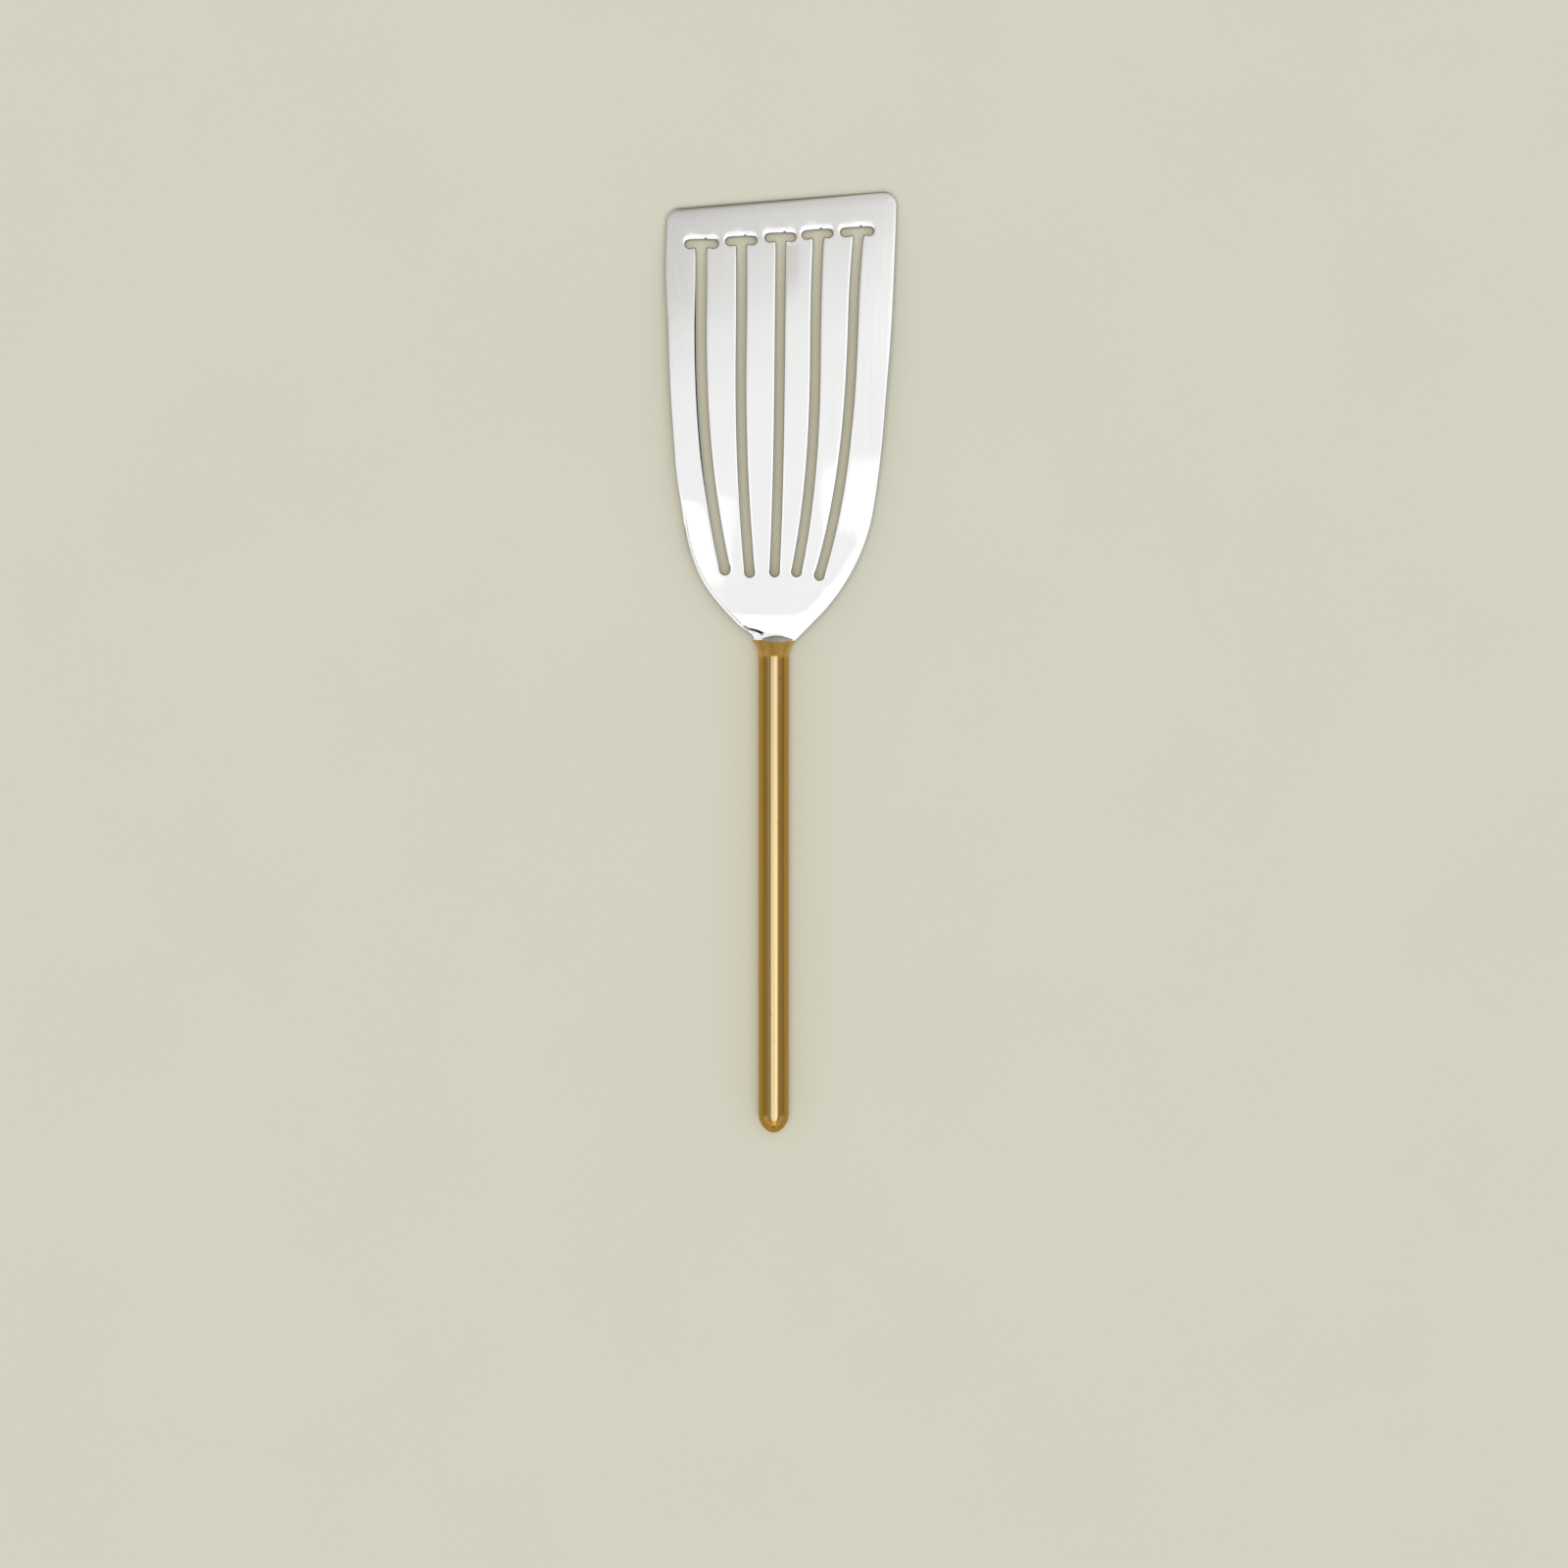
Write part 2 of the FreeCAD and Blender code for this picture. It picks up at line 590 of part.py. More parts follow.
for item in doc.Objects:
    if "Invalid" in item.State or "Error" in item.State:
        raise RuntimeError(f"{item.Label} failed: {item.State}")
os.makedirs("parts", exist_ok=True)
for body in bodies:
    if body.Shape.isNull() or not body.Shape.isValid() or len(body.Shape.Solids) != 1:
        raise RuntimeError(f"{body.Label} is not one valid solid")
    body.Shape.exportStep(f"parts/{body.Label}.step")
    box = body.Shape.optimalBoundingBox(False, False)
    corners = [round(value, 2) for value in (box.XMin, box.XMax, box.YMin, box.YMax, box.ZMin, box.ZMax)]
    print(body.Label, "volume", round(body.Shape.Volume, 2), "box", corners)
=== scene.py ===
import math

import bmesh
import bpy
import numpy as np
from mathutils.bvhtree import BVHTree
from mathutils.geometry import delaunay_2d_cdt
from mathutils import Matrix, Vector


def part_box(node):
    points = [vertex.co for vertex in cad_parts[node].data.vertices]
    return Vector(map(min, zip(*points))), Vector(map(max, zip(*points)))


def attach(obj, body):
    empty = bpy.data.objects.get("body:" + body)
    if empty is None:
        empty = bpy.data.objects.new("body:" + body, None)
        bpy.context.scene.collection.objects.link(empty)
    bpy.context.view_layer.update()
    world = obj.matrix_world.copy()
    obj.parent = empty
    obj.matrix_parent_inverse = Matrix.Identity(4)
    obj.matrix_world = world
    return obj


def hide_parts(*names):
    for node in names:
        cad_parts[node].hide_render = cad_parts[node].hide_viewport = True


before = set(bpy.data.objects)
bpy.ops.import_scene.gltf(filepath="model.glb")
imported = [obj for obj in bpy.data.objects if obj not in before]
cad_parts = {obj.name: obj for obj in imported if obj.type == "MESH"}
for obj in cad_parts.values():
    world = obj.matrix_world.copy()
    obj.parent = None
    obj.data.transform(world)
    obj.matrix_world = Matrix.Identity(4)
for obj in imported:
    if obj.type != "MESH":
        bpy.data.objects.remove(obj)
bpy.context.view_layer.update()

# Lengths are millimetres, except in lights and finishes, which have Blender's metres
MM = 0.001

# Where the blade meets the handle, and how far the blade stands askew on it
HANDLE_LENGTH = 161.5
handle_low, handle_high = (np.array(corner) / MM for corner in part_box("handle"))
JOINT_X = (handle_low[0] + handle_high[0]) / 2
JOINT_Y = handle_low[1] + HANDLE_LENGTH
AXIS_HEIGHT = (handle_low[2] + handle_high[2]) / 2
YAW = math.radians(1.04)
ACROSS = np.array((math.cos(YAW), -math.sin(YAW)))
AHEAD = np.array((math.sin(YAW), math.cos(YAW)))

# Outputs of nodes: a piece's own places, and an attribute's plain value
OBJECT_PLACE = 3
PLAIN_VALUE = 2


class Wire:
    """A node's output, joined to others by Python's operators, which add Math nodes."""

    def __init__(self, board, socket):
        self.board = board
        self.socket = socket

    def __add__(self, other):
        return self.board.math("ADD", self, other)

    def __sub__(self, other):
        return self.board.math("SUBTRACT", self, other)

    def __rsub__(self, other):
        return self.board.math("SUBTRACT", other, self)

    def __mul__(self, other):
        return self.board.math("MULTIPLY", self, other)

    def __truediv__(self, other):
        return self.board.math("DIVIDE", self, other)

    def __abs__(self):
        return self.board.math("ABSOLUTE", self)

    __radd__ = __add__
    __rmul__ = __mul__


class Board:
    """A node tree that a material or the world is wired on."""

    def __init__(self, owner):
        owner.use_nodes = True
        self.tree = owner.node_tree
        self.tree.nodes.clear()

    def node(self, kind, settings=None, sockets=None, output=0):
        made = self.tree.nodes.new("ShaderNode" + kind)
        for name, value in (settings or {}).items():
            setattr(made, name, value)
        for key, value in (sockets or {}).items():
            if isinstance(value, Wire):
                self.tree.links.new(value.socket, made.inputs[key])
            else:
                made.inputs[key].default_value = value
        return Wire(self, made.outputs[output]) if made.outputs else made

    def math(self, operation, *terms):
        return self.node("Math", {"operation": operation}, dict(enumerate(terms)))

    def axes(self, place):
        """The three parts of a vector."""
        return [self.node("SeparateXYZ", {}, {0: place}, axis) for axis in range(3)]

    def ease(self, value, start, end):
        """Rises smoothly from 0 at start to 1 at end. Start may be the larger one."""
        low, high, at_low, at_high = (start, end, 0, 1) if start < end else (end, start, 1, 0)
        limits = {"From Min": low, "From Max": high, "To Min": at_low, "To Max": at_high}
        return self.node("MapRange", {"interpolation_type": "SMOOTHSTEP"}, {"Value": value, **limits})

    def blend(self, share, first, second):
        """A colour between two colours."""
        return self.node("Mix", {"data_type": "RGBA"}, {0: share, 6: first, 7: second}, 2)

    def speckle(self, place, scale, detail, roughness=0.5):
        """Noise from 0 to 1. Scale gives its grains per metre along each axis."""
        spread = self.node("Mapping", {}, {"Vector": place, "Scale": scale})
        return self.node("TexNoise", {}, {
            "Vector": spread, "Scale": 1.0, "Detail": detail, "Roughness": roughness})

    def bump(self, strength, depth, height):
        return self.node("Bump", {}, {"Strength": strength, "Distance": depth, "Height": height})

    def cover(self, sockets):
        """Ends a material with its surface."""
        surface = self.node("BsdfPrincipled", {}, sockets)
        self.node("OutputMaterial", {}, {"Surface": surface})


# Studio

WHITE = (1, 1, 1, 1)
ROOM_COLOUR = (1, 0.93, 0.86, 1)
FRONT_COLOUR = (1, 0.985, 0.95, 1)
FAR_COLOUR = (1, 0.9, 0.74, 1)
HORIZON_COLOUR = (0.47, 0.44, 0.37, 1)
ROOM_LEVEL = 0.42
PANEL_LEVEL = 1.15
LAMP_COLOUR = (1, 0.66, 0.28)
FLOOR_COLOUR = (0.5, 0.582, 0.598, 1)
FLOOR_SHADE = 0.99
# The view's middle, its width at the handle's height, and the camera's distance from there
VIEW_MIDDLE = (0.76, -40.6)
VIEW_WIDTH = 516.0
VIEW_DISTANCE = 1350.0


def panel_light(board, side, along):
    """Level and colour of the panel overhead, in a direction that is given by its slopes."""
    # Its middle gets darker towards the blade's front, and sooner on the left
    to_left = board.math("MAXIMUM", board.math("MINIMUM", side, 0), -0.12)
    to_right = board.math("MINIMUM", board.math("MAXIMUM", side, 0), 0.12)
    lean = (9 * to_left + to_right) * board.ease(along, 0.05, 0.15)
    lean = lean * (1 - 0.6 * board.ease(along, 0.25, 0.4))
    fall = along * (1 - lean)
    dim = board.ease(fall, 0.1, 0.64)
    middle = PANEL_LEVEL - 0.405 * dim
    middle = middle - 0.215 * board.ease(fall, 0.5, 0.95) - 0.32 * board.ease(fall, 1.1, 2.0)
    middle = middle + 0.4 * board.ease(along, 3.5, 6)
    # It is bright behind, and on both sides of the middle, more so on the right
    right = board.ease(side, -0.02, 0.02)
    bright_right = right * board.ease(along, 0.5, 0.3) * board.ease(side, 0.07, 0.1)
    bright_left = (1 - right) * board.ease(along, 0.09, 0.08) * board.ease(side, -0.042, -0.058)
    bright = board.math("MAXIMUM", bright_right + bright_left, board.ease(along, -0.06, -0.09))
    bright_level = 1.28 + 0.23 * board.ease(side, -0.2, 0.2)
    level = middle + (bright_level - middle) * bright
    front = board.blend(board.ease(fall, 0.7, 1.0), FRONT_COLOUR, FAR_COLOUR)
    return level, board.blend(dim * (1 - bright), WHITE, front)


def light_studio():
    """A broad soft panel overhead with a dimmer middle, in a room with light corners."""
    world = bpy.data.worlds.new("studio")
    bpy.context.scene.world = world
    board = Board(world)
    x, y, z = board.axes(board.node("TexCoord"))
    # Slopes of a direction, to the right and towards the blade's front
    height = board.math("MAXIMUM", z, 0.03)
    side, along = x / height, y / height
    panel_level, panel_colour = panel_light(board, side, along)
    panel = board.ease(side, -0.39, -0.33) * board.ease(side, 0.58, 0.52)
    panel = panel * board.ease(along, -3.0, -2.2)
    corner = board.ease(abs(x * y) + 0.2 * board.ease(y, 0.05, -0.3), 0.28, 0.4)
    corner = corner * board.ease(z, 0.72, 0.5)
    room = ROOM_LEVEL + 0.1 * board.ease(z, 0.1, 0.45) * board.ease(z, 0.84, 0.72)
    room = room + corner * (0.2 + 0.18 * board.ease(y, 0.1, -0.1))
    level = room + (panel_level - room) * panel
    over_horizon = board.ease(z, 0.01, 0.06)
    colour = board.blend(over_horizon, HORIZON_COLOUR, board.blend(panel, ROOM_COLOUR, panel_colour))
    strength = 1 + (level - 1) * over_horizon
    background = board.node("Background", {}, {"Color": colour, "Strength": strength})
    board.node("OutputWorld", {}, {"Surface": background})


def hang_lamp():
    """A soft lamp straight above, which lights the table also through the slots. Metal doesn't show it."""
    data = bpy.data.lights.new("overhead_lamp", "SUN")
    data.energy = 1.6
    data.angle = math.radians(26)
    data.color = LAMP_COLOUR
    lamp = bpy.data.objects.new("overhead_lamp", data)
    lamp.location = (0, 0, 2)
    lamp.rotation_euler = (0, math.radians(-2), 0)
    lamp.visible_glossy = False
    bpy.context.scene.collection.objects.link(lamp)


def lay_floor():
    """Pale sheet that the tool lies on."""
    bm = bmesh.new()
    bmesh.ops.create_grid(bm, x_segments=8, y_segments=8, size=15.0)
    mesh = bpy.data.meshes.new("table_top")
    bm.to_mesh(mesh)
    bm.free()
    floor = bpy.data.objects.new("table_top", mesh)
    bpy.context.scene.collection.objects.link(floor)
    material, board, place = new_finish("pale_table")
    mottle = board.speckle(place, (14, 14, 14), 4.0)
    grain = board.speckle(place, (900, 900, 900), 2.0)
    shade = tuple(FLOOR_SHADE * value for value in FLOOR_COLOUR[:3]) + (1,)
    board.cover({
        "Base Color": board.blend(board.ease(mottle, 0.3, 0.7), shade, FLOOR_COLOUR),
        "Roughness": 0.85, "Specular IOR Level": 0.15, "Normal": board.bump(0.05, 0.0002, grain)})
    mesh.materials.append(material)


def set_camera():
    """Straight above, with a long lens."""
    data = bpy.data.cameras.new("overhead")
    data.lens = data.sensor_width * VIEW_DISTANCE / VIEW_WIDTH
    data.clip_start = 0.05
    camera = bpy.data.objects.new("overhead", data)
    x, y = VIEW_MIDDLE
    camera.location = (x * MM, y * MM, (AXIS_HEIGHT + VIEW_DISTANCE) * MM)
    bpy.context.scene.collection.objects.link(camera)
    bpy.context.scene.camera = camera


# Finishes

STEEL_DULL, STEEL_BRIGHT = (0.74, 0.741, 0.737, 1), (0.773, 0.774, 0.77, 1)
SCRATCH_COLOUR = (0.32, 0.31, 0.3, 1)
SLOT_EDGE_BROWN = (0.16, 0.095, 0.065, 1)
PAINTED_SHADE_COLOUR = (0.025, 0.018, 0.03, 1)
PAINTED_HIGHLIGHT_DULL, PAINTED_HIGHLIGHT_BRIGHT = (0.47, 0.33, 0.125, 1), (0.66, 0.465, 0.18, 1)
FLANK_DULL, FLANK_BRIGHT = (0.4, 0.222, 0.02, 1), (0.5, 0.285, 0.036, 1)
FLARE_DULL, FLARE_BRIGHT = (0.59, 0.36, 0.06, 1), (0.63, 0.39, 0.078, 1)
SPOT_COLOUR = (0.32, 0.16, 0.04, 1)
BRASS_EDGE_TINT = (1, 0.8, 0.45, 1)
BRAZE_DULL, BRAZE_BRIGHT = (0.58, 0.56, 0.53, 1), (0.66, 0.645, 0.62, 1)
BRAZE_ON_BRASS = (0.55, 0.38, 0.14, 1)


def new_finish(name):
    """A material, the board it is wired on, and the places on the piece that wears it."""
    material = bpy.data.materials.new(name)
    board = Board(material)
    return material, board, board.node("TexCoord", output=OBJECT_PLACE)


def polished_steel():
    """Buffed along the blade, duller towards the front, scratched at the left border, with painted shade
    along the crease and edge lines and darker brown slot edges.
    """
    material, board, place = new_finish("polished_steel")
    x, y, _ = board.axes(place)
    cloud = board.speckle(place, (35, 22, 35), 3.0)
    buffing = board.speckle(place, (900, 16, 900), 4.0, 0.6)
    hairline = board.speckle(place, (5200, 60, 5200), 2.0)
    shine = board.ease(0.6 * cloud + 0.4 * buffing, 0.3, 0.7)
    clean = board.blend(shine, STEEL_DULL, STEEL_BRIGHT)
    at_border = board.ease(x, -0.0325, -0.035) * board.ease(y, 0.075, 0.095) * board.ease(y, 0.135, 0.12)
    scratch = board.ease(board.speckle(place, (1700, 110, 1700), 2.0), 0.62, 0.7) * at_border
    colour = board.blend(0.4 * scratch, clean, SCRATCH_COLOUR)
    # Painted shade lines at the crease, the dragged edge and the bevel's end, and darker brown slot edges,
    # from values at the blade's points
    for darkening_name, dark in (("brown_slot_edges", SLOT_EDGE_BROWN), ("painted_shade_lines", PAINTED_SHADE_COLOUR)):
        share = board.node("Attribute", {"attribute_name": darkening_name}, output=PLAIN_VALUE)
        colour = board.blend(share, colour, dark)
    roughness = 0.035 + 0.03 * cloud + 0.035 * board.ease(buffing, 0.45, 0.75)
    roughness = roughness + 0.07 * board.ease(y, 0.05, 0.14)
    board.cover({
        "Base Color": colour, "Metallic": 1.0, "Roughness": roughness,
        "Normal": board.bump(0.06, 0.00002, buffing + 0.35 * hairline)})
    return material


def lacquered_brass():
    """Drawn rod with streaks and dull spots; its top band has a painted highlight in paler brass, and more
    coat. The flare is duller.
    """
    material, board, place = new_finish("lacquered_brass")
    _, y, z = board.axes(place)
    cloud = board.speckle(place, (90, 14, 90), 4.0)
    drawn = board.speckle(place, (2600, 14, 2600), 3.0, 0.6)
    streak = board.ease(board.speckle(place, (1500, 5, 1500), 2.0), 0.38, 0.62)
    spots = board.speckle(place, (420, 420, 420), 2.0)
    cloudy = board.ease(cloud, 0.3, 0.7)
    # Painted highlight: the band along the rod's top is paler brass than its darker sides, and it gets more
    # coat
    upper = board.ease(z, 0.0095, 0.00982)
    rod = board.ease(y, (JOINT_Y - 4.6) * MM, (JOINT_Y - 6) * MM)
    top = board.blend(streak, PAINTED_HIGHLIGHT_DULL, PAINTED_HIGHLIGHT_BRIGHT)
    flank = board.blend(0.6 * streak + 0.4 * cloudy, FLANK_DULL, FLANK_BRIGHT)
    flare = board.blend(cloudy, FLARE_DULL, FLARE_BRIGHT)
    clean = board.blend(rod, flare, board.blend(upper, flank, top))
    board.cover({
        "Base Color": board.blend(0.3 * board.ease(spots, 0.64, 0.76), clean, SPOT_COLOUR),
        "Metallic": 1.0, "Roughness": 0.07 + 0.05 * cloud + 0.03 * drawn + 0.16 * (1 - rod),
        "Normal": board.bump(0.06, 0.00003, drawn + 0.4 * spots), "Specular Tint": BRASS_EDGE_TINT,
        "Coat Weight": 0.17 + 0.33 * upper * rod, "Coat Roughness": 0.05, "Coat IOR": 2.8})
    return material


def silver_braze():
    """Dull filler metal that takes the brass's colour where it runs onto the handle."""
    material, board, place = new_finish("silver_braze")
    cloud = board.speckle(place, (500, 500, 500), 3.0)
    pits = board.speckle(place, (2600, 2600, 2600), 2.0)
    silver = board.blend(board.ease(cloud, 0.35, 0.65), BRAZE_DULL, BRAZE_BRIGHT)
    wavy_y = board.axes(place)[1] + 0.0004 * (cloud - 0.5)
    brassy = board.ease(wavy_y, (JOINT_Y + 0.3) * MM, (JOINT_Y - 0.5) * MM)
    board.cover({
        "Base Color": board.blend(0.7 * brassy, silver, BRAZE_ON_BRASS), "Metallic": 1.0,
        "Roughness": 0.24 + 0.14 * cloud, "Normal": board.bump(0.25, 0.00004, cloud + 0.3 * pits)})
    return material


def make_piece(name, points, faces, material, normals=None, marks=None):
    """A mesh piece. Marks are values at its points, which its material reads by name."""
    mesh = bpy.data.meshes.new(name)
    mesh.from_pydata((np.asarray(points) * MM).tolist(), [], faces)
    mesh.materials.append(material)
    for label, values in (marks or {}).items():
        mesh.attributes.new(label, "FLOAT", "POINT").data.foreach_set("value", values)
    mesh.shade_smooth()
    if normals is not None:
        mesh.normals_split_custom_set_from_vertices(normals.tolist())
    piece = bpy.data.objects.new(name, mesh)
    bpy.context.scene.collection.objects.link(piece)
    return piece


# Blade, drawn in its own plan: (across, ahead) from the joint

THICKNESS = 1.2
TANG_HALF, TANG_LENGTH = 3.25, 22.0
NECK_HALF = 6.7
# Straight edges run outwards from the neck at this angle, up to the shoulders
RUN = math.radians(44.3)
SHOULDER_RADIUS = 60.5
SIDE_RADIUS = 1050.0
SIDE_CENTRE = np.array((38.4 - SIDE_RADIUS, 160.3))
CORNER_RADIUS = 4.75
# The front edge slants, and the sheet curves down to it
SLANT = math.radians(5.65)
BLADE_LENGTH = 146.3
FRONT = BLADE_LENGTH * math.cos(SLANT)
CURVE_LENGTH = 65.6
CURVE_START = FRONT - CURVE_LENGTH
# Rear ends of the slots, and how far behind the front the row of crosswise slots is
SLOT_END = 21.0
CAP_SETBACK = 12.3
# Where the sides stray from the drawing: how far ahead, over what length, and how far outwards
RIGHT_STRAYS = ((98, 20, 0.35), (64, 18, 0.6), (20, 16, -0.5))
LEFT_STRAYS = ((121, 14, 0.65), (82, 28, 0.45), (42, 9, -0.8), (19, 6, 0.35), (2.1, 1.7, -1.55))


def ease(value, start, end):
    share = np.clip((value - start) / (end - start), 0, 1)
    return share * share * (3 - 2 * share)


def hinge(value, soft):
    """Zero below zero, then a straight rise, with a soft knee."""
    return (value + np.sqrt(value * value + soft * soft)) / 2


def swell(value, middle, spread):
    return np.exp(-((value - middle) / spread) ** 2)


def steepness(field, value, step=0.02):
    return (field(value + step) - field(value - step)) / (2 * step)


def on_ground(across, ahead):
    """Places in the frame, from places in the blade's plan."""
    return np.outer(across, ACROSS) + np.outer(ahead, AHEAD) + (JOINT_X, JOINT_Y)


def arc(centre, radius, start, end, step):
    angles = np.linspace(start, end, max(3, int(abs(end - start) * radius / step) + 1))
    return np.c_[centre[0] + radius * np.cos(angles), centre[1] + radius * np.sin(angles)]


def straight(start, end, step):
    count = max(2, int(math.dist(start, end) / step) + 1)
    return np.linspace(start, end, count)


def join(*runs):
    """One line from several, without doubled points."""
    points = np.vstack(runs)
    apart = np.linalg.norm(np.diff(points, axis=0), axis=1) > 0.01
    return points[np.r_[True, apart]]


def blade_side(front_slope, strays):
    """The right side from the neck to the middle of the front edge, for a front of that slope."""
    cross = np.array((-math.cos(RUN), math.sin(RUN)))
    reach = cross @ (SIDE_CENTRE - (NECK_HALF, 0))
    meet = RUN - math.acos((reach - SHOULDER_RADIUS) / (SIDE_RADIUS - SHOULDER_RADIUS))
    to_shoulder = np.array((math.cos(meet), -math.sin(meet)))
    shoulder = SIDE_CENTRE + to_shoulder * (SIDE_RADIUS - SHOULDER_RADIUS)
    run_end = shoulder - cross * SHOULDER_RADIUS
    # Centre of the round corner: as far from the front edge as from the side
    inset = FRONT - CORNER_RADIUS
    inner = SIDE_RADIUS - CORNER_RADIUS
    corner = np.array((30.0, 140.0))
    for _ in range(20):
        corner[1] = (inset + corner[0] * math.sin(front_slope)) / math.cos(front_slope)
        corner[0] = SIDE_CENTRE[0] + math.sqrt(inner ** 2 - (corner[1] - SIDE_CENTRE[1]) ** 2)
    side_end = math.asin((corner[1] - SIDE_CENTRE[1]) / inner)
    corner_end = corner + CORNER_RADIUS * np.array((-math.sin(front_slope), math.cos(front_slope)))
    side = join(
        straight((NECK_HALF, 0), run_end, 0.8),
        arc(shoulder, SHOULDER_RADIUS, -RUN, -meet, 1.0),
        arc(SIDE_CENTRE, SIDE_RADIUS, -meet, side_end, 1.2),
        arc(corner, CORNER_RADIUS, side_end, math.pi / 2 + front_slope, 0.3),
        straight(corner_end, (0, FRONT / math.cos(front_slope)), 1.2),
    )
    for place, spread, shift in strays:
        side[:, 0] += shift * swell(side[:, 1], place, spread)
    return side


def blade_border():
    """From the neck's right side round the front to its left side, as hand cutting left it."""
    left = blade_side(-SLANT, LEFT_STRAYS) * (-1, 1)
    return join(blade_side(SLANT, RIGHT_STRAYS), left[::-1])


def blade_outline(border):
    """The whole outline, anticlockwise, with the tang."""
    right, left = border[0], border[-1]
    return join(
        straight((TANG_HALF, -TANG_LENGTH), (TANG_HALF, 0), 1.5),
        straight((TANG_HALF, 0), right, 0.6),
        border,
        straight(left, (-TANG_HALF, 0), 0.6),
        straight((-TANG_HALF, 0), (-TANG_HALF, -TANG_LENGTH), 1.5),
        straight((-TANG_HALF, -TANG_LENGTH), (TANG_HALF - 0.5, -TANG_LENGTH), 1.0),
    )


# Each slot: its line at the front and at its rear end, where its bend starts, its width, how far its
# rear end stops short, and how far its line strays from the drawing at four places from front to rear
SLOTS = (
    (-25.4, -15.5, 107.94, 3.4, 0.75, (-0.84, -0.49, -0.87, -0.85)),
    (-12.4, -7.4, 94.94, 3.2, 0.05, (-0.59, -0.08, -0.43, -0.89)),
    (0.0, 0.0, 94.94, 3.1, 0.4, (-0.01, 0.27, 0.31, -0.08)),
    (12.4, 7.4, 94.94, 3.2, 0.55, (-0.32, -0.39, 0.15, -0.29)),
    (25.4, 15.5, 107.94, 3.1, -0.5, (-0.48, -1.13, -0.3, -0.59)),
)
BEND_END = SLOT_END + 1.8
STRAY_PLACES = (127.0, 93.0, 45.0, 26.0)
STRAY_LIMITS = (22, 134)
# Each crosswise slot: its length, its turn in degrees, its shift along and across the row
CAPS = (
    (11.0, 1.3, 0.2, -0.55),
    (10.2, 2.8, 0.0, -0.6),
    (10.2, 2.0, -0.2, -0.45),
    (10.1, 5.0, -0.4, -0.36),
    (11.0, 4.0, -0.4, -0.6),
)
CAP_WIDTH = 2.65
# How far crosswise slots are rounded at their ends, and bulge at the rear and at the front
CAP_ROUND, CAP_SAG, CAP_CROWN = 1.6, 0.2, 0.1
# The corner between a slot and its crosswise slot, as steps outwards and ahead
CAP_CORNER = np.array(((0.05, -0.55), (0.12, -0.22), (0.35, 0.02), (0.7, 0.06)))
# A nick in a crosswise slot's front edge: its place right of the middle, and its shape
NICK = 1.35
NICK_SHAPE = np.array(((-0.22, 0.1), (-0.06, 0.5), (0.1, 0.46), (0.2, 0.12)))


def slot_line(front, rear, bend, stray):
    """A slot's middle line as a function of the distance ahead of the joint."""
    inward = abs(front - rear)
    radius = ((bend - BEND_END) ** 2 + inward ** 2) / (2 * inward) if inward else None
    wander = np.polyfit(STRAY_PLACES, stray, 3)

    def line(ahead):
        drift = np.polyval(wander, np.clip(ahead, *STRAY_LIMITS))
        if radius is None:
            return front + drift
        behind = np.clip(bend - ahead, 0, None)
        return front - math.copysign(1, front) * (radius - np.sqrt(radius ** 2 - behind ** 2)) + drift

    return line


def cap_side(stem, reach):
    """Right half of a crosswise slot, outwards from the slot's wall and round its end, in its own axes."""
    low = -CAP_WIDTH / 2
    corner = CAP_CORNER + (stem, low)
    inner, outer = corner[-1], np.array((reach - CAP_ROUND, low - CAP_SAG))
    under = [share * inner + (1 - share) * outer for share in (0.75, 0.5, 0.25, 0)]
    turns = np.linspace(0.2, math.pi - 0.15, 13)
    round_end = outer + np.c_[CAP_ROUND * np.sin(turns), (CAP_WIDTH + CAP_SAG) * (1 - np.cos(turns)) / 2]
    return np.vstack([corner, under, round_end])


def slot_hole(slot, cap):
    """A slot with the crosswise slot at its front end, clockwise."""
    front, rear, bend, width, short, stray = slot
    length, turn, along, across = cap
    line = slot_line(front, rear, bend, stray)
    half = width / 2
    end = SLOT_END + short + half
    row = (FRONT - CAP_SETBACK) / math.cos(SLANT) + front * math.tan(SLANT)
    middle = np.array((line(row) + along, row + across))
    tilt = math.radians(turn)
    cap_axes = np.array(((math.cos(tilt), math.sin(tilt)), (-math.sin(tilt), math.cos(tilt))))
    high, low = CAP_WIDTH / 2, -CAP_WIDTH / 2
    reach = length / 2
    left_stem, right_stem = (
        cap_axes[0] @ (np.array((line(row + low) + side * half, row + low)) - middle) for side in (-1, 1))

    def front_edge(start, stop):
        places = np.arange(start, stop, 0.35)
        return np.c_[places, high + CAP_CROWN * np.cos(places / reach * math.pi / 2)]

    cap_loop = np.vstack([
        cap_side(-left_stem, reach) * (-1, 1),
        front_edge(1.75 - reach, NICK - 0.3),
        NICK_SHAPE + (NICK, high),
        front_edge(NICK + 0.5, reach - 1.65),
        cap_side(right_stem, reach)[::-1],
    ])
    # The walls start ahead of the round rear end's own ends
    ahead = np.arange(end + 0.5, row + low - 0.9, 1.1)
    right_wall = np.c_[line(ahead) + half, ahead][::-1]
    left_wall = np.c_[line(ahead) - half, ahead]
    slope = math.atan2(line(end + 1) - line(end), 1)
    rear_end = arc((line(end), end), half, math.pi - slope, 2 * math.pi - slope, 0.3)[::-1]
    return join(cap_loop @ cap_axes + middle, right_wall, rear_end, left_wall)


def boundary_tree(lines, closed):
    """Nearest point search on lines in the plan, by way of upright walls."""
    points, walls = [], []
    for line in lines:
        first = len(points)
        points += [(x, y, z) for x, y in line for z in (-1, 1)]
        count = len(line) if closed else len(line) - 1
        for index in range(count):
            here = first + 2 * index
            after = first + 2 * ((index + 1) % len(line))
            walls.append((here, after, after + 1, here + 1))
    return BVHTree.FromPolygons(points, walls)


